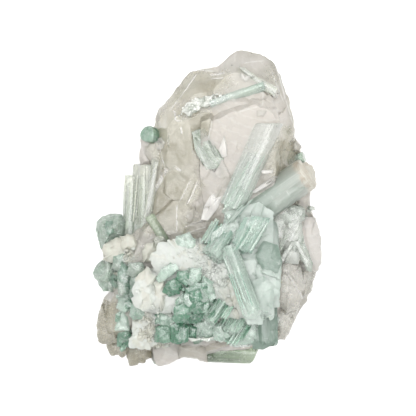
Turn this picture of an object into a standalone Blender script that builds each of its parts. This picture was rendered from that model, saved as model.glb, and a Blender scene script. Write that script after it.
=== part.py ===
"""Tourmaline specimen: pale and green tourmaline prisms on a block of smoky quartz, with white albite.

The specimen lies on its back. X runs to the right and Y up along the specimen, as it is looked down on,
and Z rises from the flat it rests on. Numbers below are millimetres until the mesh is made.
"""

import math
import random

import bmesh
import bpy
from mathutils import Matrix, Vector

MM = 0.001
LENGTH = 90.0
GAP = 0.35
FLAT = 0.0
BELOW = -3.0

# The heart is the place inside the quartz that every block of it reaches.
HEART = Vector((0.0, -5.0, 11.0))
HEART_TOP = 21.0


def clear_scene():
    """Removes every object that the scene holds."""
    for old in list(bpy.data.objects):
        bpy.data.objects.remove(old, do_unlink=True)


def finish(name, colour, roughness, transmission=0.0):
    """A Principled material with plain values."""
    made = bpy.data.materials.new(name)
    made.use_nodes = True
    shader = made.node_tree.nodes["Principled BSDF"]
    shader.inputs["Base Color"].default_value = (*colour, 1.0)
    shader.inputs["Roughness"].default_value = roughness
    shader.inputs["Metallic"].default_value = 0.0
    shader.inputs["Transmission Weight"].default_value = transmission
    made.diffuse_color = (*colour, 1.0)
    return made


def hull(points):
    """The convex solid round a set of points, as a triangle mesh."""
    made = bmesh.new()
    for point in points:
        made.verts.new(Vector(point) * MM)
    bmesh.ops.convex_hull(made, input=made.verts, use_existing_faces=False)
    loose = [v for v in made.verts if not v.link_faces]
    bmesh.ops.delete(made, geom=loose, context="VERTS")
    bmesh.ops.recalc_face_normals(made, faces=made.faces)
    return made


def as_object(made, name):
    """Puts a bmesh into a new object of the scene."""
    mesh = bpy.data.meshes.new(name)
    made.to_mesh(mesh)
    made.free()
    item = bpy.data.objects.new(name, mesh)
    bpy.context.scene.collection.objects.link(item)
    return item


def combine(base, other, operation):
    """Applies one Boolean of two closed meshes to the first and removes the second."""
    step = base.modifiers.new("step", "BOOLEAN")
    step.operation = operation
    step.solver = "EXACT"
    step.object = other
    bpy.context.view_layer.update()
    result = bpy.data.meshes.new_from_object(base.evaluated_get(bpy.context.evaluated_depsgraph_get()))
    base.modifiers.clear()
    old = base.data
    base.data = result
    bpy.data.meshes.remove(old)
    bpy.data.objects.remove(other, do_unlink=True)
    return base


def united(solids, name):
    """One body of overlapping solids."""
    base = as_object(solids[0], name)
    for solid in solids[1:]:
        combine(base, as_object(solid, "next"), "UNION")
    return base


def carved(base, cutters):
    """A body less its cutters."""
    for cutter in cutters:
        combine(base, as_object(cutter, "cutter"), "DIFFERENCE")
    return base


def keep_largest(item):
    """Drops the chips that the cuts leave loose, triangulates, and merges points closer than a micron."""
    made = bmesh.new()
    made.from_mesh(item.data)
    bmesh.ops.triangulate(made, faces=made.faces)
    seen = set()
    islands = []
    for start in made.verts:
        if start in seen:
            continue
        island = [start]
        seen.add(start)
        for vert in island:
            for edge in vert.link_edges:
                near = edge.other_vert(vert)
                if near not in seen:
                    seen.add(near)
                    island.append(near)
        islands.append(island)
    islands.sort(key=len)
    for island in islands[:-1]:
        bmesh.ops.delete(made, geom=island, context="VERTS")
    bmesh.ops.recalc_face_normals(made, faces=made.faces)
    made.to_mesh(item.data)
    made.free()
    return item


def block(outline, low, high, front, slope=(0.0, 0.0), front_scale=0.85, back_scale=0.6):
    """A convex block of quartz: widest between low and high, drawn in towards the heart at front and back."""
    points = [(HEART.x, HEART.y, HEART_TOP), (HEART.x, HEART.y, BELOW)]
    for x, y in outline:
        dx = x - HEART.x
        dy = y - HEART.y
        front_x = HEART.x + dx * front_scale
        front_y = HEART.y + dy * front_scale
        points.append((x, y, high))
        points.append((HEART.x + dx * 0.97, HEART.y + dy * 0.97, low))
        points.append((front_x, front_y, front + slope[0] * front_x + slope[1] * front_y))
        points.append((HEART.x + dx * back_scale, HEART.y + dy * back_scale, BELOW))
    return hull(points)


def splinter(outline, low, high, lean):
    """A sharp-edged splinter of quartz: its outline carried up and drawn in to one side."""
    first_x, first_y = outline[0]
    points = [(x, y, low) for x, y in outline]
    for x, y in outline:
        share = 0.55 + lean * (y - first_y) / 10.0
        points.append((first_x + (x - first_x) * share + 0.8, first_y + (y - first_y) * share + 0.6, high))
    return hull(points)


def scoop(centre, radius):
    """A shell-like chip out of the quartz: a ball of flat faces."""
    made = bmesh.new()
    bmesh.ops.create_icosphere(made, subdivisions=2, radius=radius * MM)
    bmesh.ops.translate(made, verts=made.verts, vec=Vector(centre) * MM)
    return made


def frame_of(foot, tip, roll):
    """A matrix whose Z runs from foot to tip, turned by roll about it."""
    axis = (Vector(tip) - Vector(foot)).normalized()
    side = axis.cross(Vector((0.0, 0.0, 1.0)))
    if side.length < 0.05:
        side = axis.cross(Vector((0.0, 1.0, 0.0)))
    side.normalize()
    across = axis.cross(side)
    turn = Matrix((side, across, axis)).transposed()
    return turn @ Matrix.Rotation(math.radians(roll), 3, "Z")


def section(radius, sides, lobe):
    """Points round a prism: a circle that swells three times round, as tourmaline does."""
    points = []
    for step in range(sides):
        angle = math.tau * step / sides
        r = radius * (1.0 + lobe * math.cos(3.0 * angle))
        points.append((r * math.cos(angle), r * math.sin(angle)))
    return points


def prism(foot, tip, width, sides=9, lobe=0.06, roll=0.0, cap=0.25, lean=0.0, taper=1.0, grow=0.0):
    """A tourmaline prism from foot to tip: ribbed sides, then a low cap drawn in to a blunt end."""
    turn = frame_of(foot, tip, roll)
    foot = Vector(foot)
    length = (Vector(tip) - foot).length
    radius = width / 2.0
    shoulder = length - cap * width
    levels = [
        (-grow, 1.0, 0.0),
        (shoulder + grow, taper, 0.0),
        (length + grow, taper * (0.55 if cap > 0.0 else 1.0), lean),
    ]
    made = bmesh.new()
    rings = []
    for height, scale, tilt in levels:
        ring = []
        for x, y in section(radius * scale + grow, sides, lobe):
            point = turn @ Vector((x, y, height + tilt * x)) + foot
            ring.append(made.verts.new(point * MM))
        rings.append(ring)
    made.faces.new(list(reversed(rings[0])))
    made.faces.new(rings[-1])
    for lower, upper in zip(rings, rings[1:]):
        for step in range(sides):
            after = (step + 1) % sides
            made.faces.new((lower[step], lower[after], upper[after], upper[step]))
    bmesh.ops.triangulate(made, faces=made.faces)
    bmesh.ops.recalc_face_normals(made, faces=made.faces)
    return made


def lump(centre, radii, seed, grow=0.0, corners=16):
    """A rough white lump: the convex solid round points spread over an uneven ball."""
    draw = random.Random(seed)
    golden = math.pi * (3.0 - math.sqrt(5.0))
    swell = 1.0 + grow / (0.62 * min(radii))
    points = []
    for step in range(corners):
        height = 1.0 - 2.0 * (step + 0.5) / corners
        ring = math.sqrt(1.0 - height * height)
        angle = golden * step + draw.uniform(-0.35, 0.35)
        reach = draw.uniform(0.84, 1.12) * swell
        points.append(
            (
                centre[0] + radii[0] * ring * math.cos(angle) * reach,
                centre[1] + radii[1] * ring * math.sin(angle) * reach,
                centre[2] + radii[2] * height * reach,
            )
        )
    return hull(points)


# Outlines of the quartz blocks, seen from the front.
BLOCKS = {
    "peak": dict(
        outline=[(4.4, 41.6), (8.7, 45.0), (11.2, 44.9), (16.0, 43.4), (18.8, 41.4), (21.2, 38.6),
                 (23.2, 31.0), (24.8, 24.0), (24.4, 14.0), (23.0, 0.0), (-6.0, 30.0)],
        low=7.0, high=13.0, front=19.0, slope=(0.02, 0.05), front_scale=0.86,
    ),
    "shoulder": dict(
        outline=[(-13.2, 28.1), (-9.0, 33.6), (-4.8, 38.8), (-2.8, 39.6), (4.4, 40.2), (17.0, 36.0),
                 (16.0, 8.0), (-14.0, 6.0)],
        low=5.0, high=14.0, front=21.0, slope=(0.10, 0.0), front_scale=0.83,
    ),
    "left_flank": dict(
        outline=[(-13.4, 28.0), (-15.2, 22.0), (-16.4, 15.0), (-17.4, 8.0), (-18.6, 1.0), (-19.4, -8.0),
                 (6.0, -14.0), (8.0, 24.0)],
        low=5.0, high=11.0, front=20.0, slope=(0.16, 0.0), front_scale=0.78,
    ),
    "plateau": dict(
        outline=[(-1.8, 25.6), (14.6, 31.8), (20.2, 29.6), (21.4, 22.0), (20.0, 6.0), (8.0, -8.0),
                 (-2.0, 10.0)],
        low=8.0, high=20.5, front=23.4, slope=(0.03, 0.03), front_scale=0.93,
    ),
    "left_bump": dict(
        outline=[(-17.0, 20.4), (-18.5, 18.8), (-18.6, 16.8), (-17.2, 14.4), (-8.0, 12.0), (-8.0, 20.0)],
        low=6.0, high=10.5, front=15.0, front_scale=0.93,
    ),
    "right_bump": dict(
        outline=[(24.2, 21.0), (25.6, 19.4), (26.9, 17.8), (26.4, 15.6), (25.0, 6.0), (14.0, 12.0)],
        low=6.0, high=12.0, front=17.0, front_scale=0.93, back_scale=0.7,
    ),
    "lower": dict(
        outline=[(-28.0, -25.9), (-26.0, -15.1), (-22.0, -6.1), (-12.0, 4.0), (23.7, 8.1), (29.1, -0.7),
                 (30.6, -8.9), (31.0, -15.1), (28.0, -23.9), (22.0, -36.0), (15.7, -39.6), (-6.9, -41.2),
                 (-22.5, -39.4)],
        low=5.0, high=11.0, front=20.5, slope=(0.0, 0.05), front_scale=0.78,
    ),
    "left_block": dict(
        outline=[(-29.1, -25.1), (-30.8, -29.3), (-31.3, -31.6), (-31.2, -36.7), (-30.4, -38.3),
                 (-26.8, -38.6), (-16.0, -36.0), (-18.0, -16.0)],
        low=3.5, high=10.0, front=17.0, front_scale=0.88,
    ),
    "lower_left_wedge": dict(
        outline=[(-28.6, -38.1), (-27.1, -41.9), (-25.1, -41.6), (-22.8, -41.2), (-16.0, -38.7),
                 (-18.0, -26.0)],
        low=3.0, high=8.0, front=13.5, front_scale=0.9,
    ),
    "bottom_wedge": dict(
        outline=[(-22.9, -40.7), (-22.4, -44.4), (-21.7, -45.0), (-16.0, -42.4), (-11.0, -38.0)],
        low=3.0, high=8.0, front=13.0, front_scale=0.92,
    ),
    "bottom_rhomb": dict(
        outline=[(-16.0, -40.1), (-15.6, -42.6), (-13.6, -44.8), (-11.8, -44.3), (-6.9, -42.2),
                 (-6.0, -37.6)],
        low=4.0, high=10.5, front=15.0, front_scale=0.9,
    ),
    "bottom_strip": dict(
        outline=[(-8.1, -42.0), (-4.7, -42.4), (1.0, -41.4), (7.0, -38.7)],
        low=5.0, high=11.0, front=16.0, front_scale=0.9,
    ),
    "right_lump": dict(
        outline=[(28.6, -0.9), (30.4, -2.6), (31.4, -4.4), (32.1, -7.5), (32.5, -11.7), (32.6, -15.6),
                 (31.2, -17.1), (29.2, -18.6)],
        low=5.5, high=11.0, front=18.0, front_scale=0.86,
    ),
    "lower_right": dict(
        outline=[(27.0, -12.0), (29.6, -19.0), (29.6, -23.1), (26.2, -28.5), (22.0, -36.9), (17.8, -39.0),
                 (9.5, -33.0)],
        low=5.0, high=10.0, front=19.0, front_scale=0.84,
    ),
}

# Splinters that stand out of the quartz: outline, and the heights they run between.
SPLINTERS = [
    dict(outline=[(-1.2, -4.6), (-0.4, 1.0), (1.6, 4.5), (4.4, 3.7), (4.0, -4.6)], low=16.0, high=24.6, lean=0.25),
    dict(outline=[(3.5, 16.6), (4.1, 19.8), (5.4, 19.2), (5.9, 15.0), (4.4, 14.2)], low=20.0, high=26.0, lean=0.3),
    dict(outline=[(-6.6, -6.6), (-6.0, -3.2), (-0.6, -2.0), (0.4, -5.6)], low=16.0, high=23.2, lean=0.2),
]

# Shell-like chips: centre and radius.
SCOOPS = [
    ((3.0, 47.0, 21.0), 8.0),
    ((25.0, 44.0, 13.0), 6.2),
    ((17.6, 44.6, 22.0), 6.0),
    ((-8.0, 41.0, 22.5), 7.0),
    ((-18.6, 27.0, 20.0), 8.0),
    ((30.4, 13.0, 20.0), 8.4),
    ((-33.0, -20.0, 19.0), 6.0),
    ((33.0, -27.0, 20.0), 9.0),
    ((28.0, -42.0, 16.0), 7.5),
    ((-24.0, -46.0, 15.0), 5.0),
    ((4.0, -45.5, 17.0), 5.0),
    ((35.0, 4.0, 8.0), 5.0),
    ((-26.0, 14.0, 2.0), 8.0),
    ((30.0, 30.0, 1.0), 8.0),
    ((-36.0, -30.0, 2.0), 6.0),
    ((6.0, 48.0, 3.0), 7.0),
]


def crystal(foot, tip, width, **more):
    """What one prism needs: its two ends, its width and the form of its end."""
    return dict(foot=foot, tip=tip, width=width, **more)


# Each node and the prisms that grew together in it.
TOURMALINES = {
    "long_prism": ("pale_tourmaline", [
        crystal((7.2, 0.2, 23.6), (17.4, 24.4, 24.6), 6.4, sides=12, cap=0.15),
    ]),
    "stained_prism": ("aqua_tourmaline", [
        crystal((13.6, -0.4, 20.2), (28.8, 10.4, 20.6), 9.6, sides=12, lobe=0.05, roll=20, cap=0.12),
    ]),
    "centre_prism": ("aqua_tourmaline", [
        crystal((9.0, -15.0, 23.0), (14.6, -2.0, 31.2), 7.4, sides=12, roll=30, cap=0.0),
    ]),
    "leaning_prism": ("aqua_tourmaline", [
        crystal((5.2, -9.4, 27.0), (13.4, -30.8, 28.6), 5.3, sides=12, cap=0.35),
    ]),
    "right_column": ("aqua_tourmaline", [
        crystal((17.2, -4.4, 19.0), (17.4, -20.4, 26.0), 6.6, sides=9, cap=0.3),
        crystal((15.6, -16.0, 19.0), (15.9, -31.0, 25.6), 6.4, sides=9, cap=0.2, roll=25),
        crystal((16.4, -27.0, 18.0), (16.7, -39.4, 18.6), 7.4, sides=9, cap=0.2, roll=10),
    ]),
    "bottom_bar": ("olive_tourmaline", [
        crystal((-0.6, -41.0, 7.2), (15.4, -41.4, 7.6), 4.6, sides=12, cap=0.1),
    ]),
    "left_fan": ("grey_tourmaline", [
        crystal((-19.6, -7.4, 13.0), (-21.4, 9.2, 12.0), 4.4, sides=9, cap=0.2),
        crystal((-18.6, -8.6, 14.0), (-16.8, 12.8, 15.4), 6.6, sides=12, cap=0.05),
        crystal((-17.6, -6.0, 16.0), (-13.4, 16.4, 15.4), 4.2, sides=9, cap=0.3),
    ]),
    "emerald_head": ("green_tourmaline", [
        crystal((-11.6, 19.4, 7.4), (-17.2, 21.4, 16.0), 4.6, sides=9, cap=0.3),
    ]),
    "upper_stub": ("green_tourmaline", [
        crystal((-25.6, -13.4, 8.0), (-27.4, -2.2, 15.0), 7.6, sides=12, cap=0.4),
    ]),
    "lower_stub": ("green_tourmaline", [
        crystal((-21.6, -22.4, 8.0), (-31.06, -16.6, 15.6), 7.6, sides=9, cap=0.3),
    ]),
    "right_spray": ("pale_tourmaline", [
        crystal((19.6, -17.0, 17.0), (26.0, -4.8, 21.4), 5.4, sides=9, cap=0.3),
        crystal((29.6, -19.4, 12.0), (25.2, -7.0, 19.4), 4.4, sides=9, cap=0.2),
        crystal((22.8, -7.8, 15.0), (24.6, 1.4, 20.6), 5.4, sides=9, cap=0.3),
    ]),
    "right_edge_prism": ("green_tourmaline", [
        crystal((21.6, 13.0, 11.0), (27.8, 14.8, 13.0), 3.2, sides=9, cap=0.2),
    ]),
    "olive_stick": ("green_tourmaline", [
        crystal((-11.2, -9.8, 18.0), (-15.7, -2.2, 18.4), 2.9, sides=6, cap=0.1),
    ]),
    "clear_stub": ("grey_tourmaline", [
        crystal((-11.6, -13.6, 20.0), (-13.4, -8.4, 23.6), 3.4, sides=9, cap=0.0),
    ]),
    "centre_left_prism": ("aqua_tourmaline", [
        crystal((8.0, -4.6, 22.0), (0.6, -14.4, 27.6), 6.8, sides=9, cap=0.1, roll=40),
    ]),
    "upper_green_cluster": ("green_tourmaline", [
        crystal((-13.4, -19.8, 23.0), (-8.4, -15.2, 28.0), 3.6, sides=6, cap=0.2),
        crystal((-12.0, -22.8, 23.0), (-6.1, -17.8, 29.0), 3.8, sides=6, cap=0.2),
        crystal((-6.6, -22.8, 22.0), (-3.0, -15.6, 29.0), 4.4, sides=6, cap=0.2),
        crystal((-3.4, -30.0, 20.0), (-3.3, -20.4, 30.4), 6.2, sides=9, cap=0.2),
        crystal((-7.6, -33.0, 18.0), (-7.0, -28.0, 29.4), 5.6, sides=9, cap=0.2),
    ]),
    "lower_green_cluster": ("green_tourmaline", [
        crystal((-10.9, -40.0, 10.5), (-11.8, -31.8, 22.0), 5.2, sides=9, cap=0.2),
        crystal((-6.5, -39.6, 10.5), (-6.4, -32.0, 22.0), 5.2, sides=9, cap=0.2, roll=30),
        crystal((-2.6, -38.6, 12.0), (-2.4, -33.2, 22.6), 4.6, sides=9, cap=0.2),
    ]),
    "needle_bundle": ("green_tourmaline", [
        crystal((6.4, -24.6, 22.0), (0.0, -31.8, 26.0), 4.4, sides=12, cap=0.1),
        crystal((10.2, -28.4, 20.0), (5.6, -34.8, 24.4), 3.8, sides=12, cap=0.1),
    ]),
    "pale_bar": ("pale_tourmaline", [
        crystal((9.0, -36.0, 17.0), (-1.6, -34.8, 19.4), 4.4, sides=9, cap=0.1),
    ]),
    "left_green_cluster": ("green_tourmaline", [
        crystal((-22.0, -39.4, 9.0), (-23.8, -33.0, 17.6), 3.8, sides=6, cap=0.2),
        crystal((-23.1, -36.2, 11.0), (-24.5, -25.4, 17.4), 3.0, sides=6, cap=0.2),
        crystal((-18.0, -32.8, 15.0), (-20.6, -26.6, 22.4), 4.8, sides=6, cap=0.2),
    ]),
    "left_grey_cluster": ("grey_tourmaline", [
        crystal((-21.6, -26.4, 14.0), (-23.4, -15.0, 20.4), 5.2, sides=6, cap=0.15),
        crystal((-18.6, -26.0, 16.0), (-19.6, -14.6, 22.4), 4.4, sides=6, cap=0.15),
    ]),
    "enclosed_prism": ("green_tourmaline", [
        crystal((3.6, 8.0, 21.6), (-2.1, 21.8, 21.6), 4.4, sides=9, cap=0.1),
    ]),
    "groove_prism": ("pale_tourmaline", [
        crystal((-5.6, 27.2, 20.6), (16.8, 35.0, 20.8), 2.5, sides=6, cap=0.2),
    ]),
    "crossing_prism": ("green_tourmaline", [
        crystal((9.4, 38.6, 18.6), (20.4, 32.6, 20.2), 2.6, sides=6, cap=0.2),
    ]),
}

# White lumps of each crust, centre and half sizes, and how many small ones sit on them.
CRUSTS = {
    "albite_crust": ([
        ((-14.9, -23.1, 22.5), (5.3, 6.7, 5.4)),
        ((-17.0, -34.6, 17.0), (4.2, 4.6, 4.6)),
        ((-16.4, -29.6, 18.0), (3.8, 3.8, 4.0)),
        ((-9.0, -15.2, 21.6), (5.6, 4.8, 4.4)),
        ((-2.0, -13.2, 22.4), (6.2, 4.8, 4.6)),
        ((3.0, -18.5, 23.0), (6.6, 5.2, 4.8)),
        ((8.5, -21.5, 22.0), (5.2, 5.2, 4.6)),
        ((-5.0, -21.0, 21.0), (7.2, 7.2, 5.0)),
        ((0.0, -27.0, 19.6), (8.4, 6.2, 5.0)),
        ((-9.0, -29.0, 19.0), (7.4, 6.0, 5.0)),
        ((11.4, -27.0, 20.0), (3.8, 4.6, 4.4)),
        ((13.0, -15.8, 21.6), (2.8, 3.8, 3.6)),
        ((4.0, -32.6, 17.0), (7.0, 4.8, 4.6)),
        ((-12.6, -34.6, 15.6), (6.0, 4.6, 4.4)),
    ], 22),
    "left_albite": ([
        ((-24.6, -12.4, 13.0), (4.8, 4.4, 4.6)),
        ((-20.6, -13.4, 15.6), (4.4, 4.0, 4.4)),
        ((-15.8, -12.6, 18.0), (3.6, 3.4, 3.6)),
        ((-24.4, -20.4, 13.0), (3.6, 4.8, 4.0)),
    ], 7),
}


def grains(lumps, count, seed):
    """Small lumps seeded over the upper side of the big ones."""
    draw = random.Random(seed)
    placed = []
    for step in range(count):
        centre, radii = lumps[step % len(lumps)]
        angle = draw.uniform(0.0, math.tau)
        rise = draw.uniform(0.1, 0.8)
        flat = math.sqrt(1.0 - rise * rise)
        size = draw.uniform(1.2, 2.1)
        place = (
            centre[0] + radii[0] * 0.86 * flat * math.cos(angle),
            centre[1] + radii[1] * 0.86 * flat * math.sin(angle),
            centre[2] + radii[2] * 0.86 * rise,
        )
        placed.append((place, (size, size * draw.uniform(0.7, 1.2), size * draw.uniform(0.7, 1.1))))
    return placed


def span(crystals, lumps=()):
    """The lowest and highest corners of a box round some prisms and lumps."""
    low = [math.inf] * 3
    high = [-math.inf] * 3
    for one in crystals:
        for end in (one["foot"], one["tip"]):
            for k in range(3):
                low[k] = min(low[k], end[k] - one["width"])
                high[k] = max(high[k], end[k] + one["width"])
    for centre, radii in lumps:
        for k in range(3):
            low[k] = min(low[k], centre[k] - radii[k])
            high[k] = max(high[k], centre[k] + radii[k])
    return low, high


def near(first, second):
    """Whether two boxes meet."""
    return all(first[0][k] < second[1][k] and second[0][k] < first[1][k] for k in range(3))


def dress(item, material):
    """Gives a body its one material."""
    item.data.materials.clear()
    item.data.materials.append(material)


def build():
    """Makes every body of the specimen."""
    clear_scene()
    finishes = {
        "smoky_quartz": finish("smoky_quartz", (0.72, 0.68, 0.62), 0.25, 0.5),
        "white_albite": finish("white_albite", (0.86, 0.86, 0.84), 0.5),
        "pale_tourmaline": finish("pale_tourmaline", (0.62, 0.80, 0.72), 0.18, 0.5),
        "aqua_tourmaline": finish("aqua_tourmaline", (0.50, 0.76, 0.70), 0.22, 0.4),
        "green_tourmaline": finish("green_tourmaline", (0.20, 0.55, 0.38), 0.18, 0.4),
        "grey_tourmaline": finish("grey_tourmaline", (0.55, 0.65, 0.58), 0.2, 0.4),
        "olive_tourmaline": finish("olive_tourmaline", (0.36, 0.52, 0.34), 0.2, 0.5),
    }
    sockets = []
    for name, (slot, crystals) in TOURMALINES.items():
        body = united([prism(**one) for one in crystals], name)
        box = span(crystals)
        carved(body, [prism(**one, grow=GAP) for one in sockets if near(box, span([one]))])
        keep_largest(body)
        dress(body, finishes[slot])
        sockets += crystals
    chips = []
    for name, (big, small) in CRUSTS.items():
        lumps = big + grains(big, small, len(big))
        solids = [lump(*one, seed=seed) for seed, one in enumerate(lumps)]
        body = united(solids, name)
        box = span([], lumps)
        carved(body, [prism(**one, grow=GAP) for one in sockets if near(box, span([one]))])
        carved(body, [lump(*one, seed=seed, grow=GAP) for seed, one in chips if near(box, span([], [one]))])
        keep_largest(body)
        dress(body, finishes["white_albite"])
        chips += list(enumerate(lumps))
    grown = [block(**shape) for shape in BLOCKS.values()] + [splinter(**shape) for shape in SPLINTERS]
    quartz = united(grown, "quartz_matrix")
    carved(quartz, [scoop(*one) for one in SCOOPS])
    carved(quartz, [prism(**one, grow=GAP) for one in sockets])
    carved(quartz, [lump(*one, seed=seed, grow=GAP) for seed, one in chips])
    under = bmesh.new()
    bmesh.ops.create_cube(under, size=2.0 * LENGTH * MM)
    bmesh.ops.translate(under, verts=under.verts, vec=Vector((0.0, 0.0, FLAT - LENGTH)) * MM)
    carved(quartz, [under])
    keep_largest(quartz)
    dress(quartz, finishes["smoky_quartz"])


build()
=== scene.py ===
# %% [markdown]
# # A tourmaline specimen
# Pale tourmaline prisms and a green cluster grow on a broken block of smoky quartz, with white sugary
# albite between them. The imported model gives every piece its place. This lesson dresses each piece:
# it works out a fine surface with numpy and then gives it a finish made of nodes.

# %% Loading the frame
import math

import bmesh
import bpy
import numpy as np
from mathutils import Matrix, Vector


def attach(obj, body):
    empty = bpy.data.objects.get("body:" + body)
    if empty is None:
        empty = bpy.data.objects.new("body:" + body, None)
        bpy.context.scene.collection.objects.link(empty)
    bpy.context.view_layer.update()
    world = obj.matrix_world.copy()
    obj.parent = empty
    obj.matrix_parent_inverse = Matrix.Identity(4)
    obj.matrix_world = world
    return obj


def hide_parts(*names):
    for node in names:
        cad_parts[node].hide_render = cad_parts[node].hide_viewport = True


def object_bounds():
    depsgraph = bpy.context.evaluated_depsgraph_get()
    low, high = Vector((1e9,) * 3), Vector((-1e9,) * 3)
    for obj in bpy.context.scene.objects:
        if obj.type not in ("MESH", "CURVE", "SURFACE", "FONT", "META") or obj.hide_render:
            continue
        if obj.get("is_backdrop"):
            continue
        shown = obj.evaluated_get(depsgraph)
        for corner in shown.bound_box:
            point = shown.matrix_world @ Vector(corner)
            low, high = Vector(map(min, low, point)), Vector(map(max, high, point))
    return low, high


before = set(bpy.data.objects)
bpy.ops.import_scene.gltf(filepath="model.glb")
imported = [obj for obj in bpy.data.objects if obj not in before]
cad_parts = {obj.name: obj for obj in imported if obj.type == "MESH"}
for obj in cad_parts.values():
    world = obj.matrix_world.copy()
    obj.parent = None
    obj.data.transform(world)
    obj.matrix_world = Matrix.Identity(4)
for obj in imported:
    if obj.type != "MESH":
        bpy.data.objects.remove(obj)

MM = 0.001
cad_low, cad_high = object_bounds()
print("frame", [round(side / MM, 1) for side in (cad_high - cad_low)], "mm,", len(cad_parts), "nodes")

# %% [markdown]
# ## Putting numbers into a mesh
# Every surface below is a grid of rings that runs from one pole to the other. The rings are worked out
# as whole arrays, and one helper turns them into faces, so that a seam or a pole can't be left open.

# %% Rings to solids
def closed_rings(rings, first, last):
    """Points and faces of a closed surface: rings (rows, columns, 3), and a pole at each end.

    Row i, column j is joined to row i + 1 and column j + 1, the last column to the first. The sum of the
    volumes under the faces tells which way they look, and they are turned over if they look inward.
    """
    rows, columns, _ = rings.shape
    points = np.concatenate([rings.reshape(-1, 3), [first], [last]])
    i, j = np.meshgrid(np.arange(rows - 1), np.arange(columns), indexing="ij")
    after = (j + 1) % columns
    quads = np.stack([i * columns + j, i * columns + after, (i + 1) * columns + after, (i + 1) * columns + j], -1)
    edge = np.arange(columns)
    turn = (edge + 1) % columns
    start = np.stack([np.full(columns, rows * columns), turn, edge], -1)
    top = (rows - 1) * columns
    end = np.stack([np.full(columns, rows * columns + 1), top + edge, top + turn], -1)
    quads, caps = quads.reshape(-1, 4), np.concatenate([start, end])
    centred = points - points.mean(0)
    halves = np.concatenate([quads[:, :3], quads[:, [0, 2, 3]], caps])
    a, b, c = centred[halves[:, 0]], centred[halves[:, 1]], centred[halves[:, 2]]
    if (np.cross(a, b) * c).sum() < 0.0:
        quads, caps = quads[:, ::-1], caps[:, ::-1]
    return points, quads, caps


def place(name, parts, attributes=(), smooth=True, sharp=None):
    """Joins parts (points, quads, triangles) into one mesh object, with a vector or number for each point."""
    points, quads, triangles, base = [], [], [], 0
    for part_points, part_quads, part_triangles in parts:
        points.append(part_points)
        quads.append(part_quads + base)
        triangles.append(part_triangles + base)
        base += len(part_points)
    points = np.concatenate(points)
    quads = np.concatenate(quads).astype(np.int32)
    triangles = np.concatenate(triangles).astype(np.int32)
    mesh = bpy.data.meshes.new(name)
    mesh.vertices.add(len(points))
    mesh.vertices.foreach_set("co", (points * MM).astype(np.float32).ravel())
    mesh.loops.add(4 * len(quads) + 3 * len(triangles))
    mesh.loops.foreach_set("vertex_index", np.concatenate([quads.ravel(), triangles.ravel()]))
    starts = np.concatenate([4 * np.arange(len(quads)), 4 * len(quads) + 3 * np.arange(len(triangles))])
    mesh.polygons.add(len(starts))
    mesh.polygons.foreach_set("loop_start", starts.astype(np.int32))
    mesh.update(calc_edges=True)
    mesh.validate()
    for label, kind, values in attributes:
        layer = mesh.attributes.new(label, kind, "POINT")
        field = "vector" if kind == "FLOAT_VECTOR" else "value"
        layer.data.foreach_set(field, np.concatenate(values).astype(np.float32).ravel())
    if smooth:
        mesh.shade_smooth()
        if sharp is not None:
            mesh.set_sharp_from_angle(angle=math.radians(sharp))
    piece = bpy.data.objects.new(name, mesh)
    bpy.context.scene.collection.objects.link(piece)
    print(name, len(points), "points,", 2 * len(quads) + len(triangles), "triangles")
    return piece


def settle(piece, nodes, material):
    """Rides a piece on the specimen, in place of its nodes, and dresses it."""
    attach(piece, "root")
    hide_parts(*nodes)
    piece.data.materials.clear()
    piece.data.materials.append(material)
    return piece


# %% [markdown]
# ## Noise that is only numbers
# Broken stone is uneven at every scale. A sum of many plane waves with random directions gives a soft
# uneven field. For chips, the surface is shared out between scattered places, and each share is a small
# tilted plane, so that crisp edges and little ledges appear where two shares meet.

# %% Fields
def waves(points, size, seed, count=28):
    """A smooth random field near -1 to 1: the mean of count plane waves whose length is about size, in mm."""
    draw = np.random.default_rng(seed)
    ways = draw.normal(size=(count, 3))
    ways /= np.linalg.norm(ways, axis=1)[:, None]
    pitch = math.tau / (size * draw.uniform(0.7, 1.5, count))
    shift = draw.uniform(0.0, math.tau, count)
    return np.sin(points @ (ways * pitch[:, None]).T + shift).sum(1) * math.sqrt(2.0 / count) * 0.6


def nearest_of(points, places, chunk=12000):
    """For each point, which place is nearest and how far it is, in mm."""
    which = np.empty(len(points), int)
    far = np.empty(len(points))
    for start in range(0, len(points), chunk):
        some = points[start:start + chunk]
        gap = (some ** 2).sum(1)[:, None] + (places ** 2).sum(1)[None] - 2.0 * some @ places.T
        which[start:start + chunk] = gap.argmin(1)
        far[start:start + chunk] = gap.min(1)
    return which, np.sqrt(np.maximum(far, 0.0))


def chips(points, count, seed, lean):
    """Depth of tilted planes, in mm: each point lies on the plane of the nearest of count scattered places.

    depth = (point - place) . tilt, with a chance tilt for each place.
    """
    draw = np.random.default_rng(seed)
    count = min(count, len(points))
    places = points[draw.choice(len(points), count, replace=False)] + draw.normal(scale=0.2, size=(count, 3))
    tilt = draw.normal(scale=lean, size=(count, 3))
    which, _ = nearest_of(points, places)
    return ((points - places[which]) * tilt[which]).sum(1)


def step(value, low, high):
    """0 below low, 1 above high, and an even S between."""
    share = np.clip((value - low) / (high - low), 0.0, 1.0)
    return share * share * (3.0 - 2.0 * share)


def along_line(xy, start, end):
    """How far along a line each point is, from 0 to 1, and how far to its left side, in mm."""
    start, end = np.array(start), np.array(end)
    run = end - start
    length = np.linalg.norm(run)
    off = xy - start
    return off @ run / length ** 2, (off[:, 1] * run[0] - off[:, 0] * run[1]) / length


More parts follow.
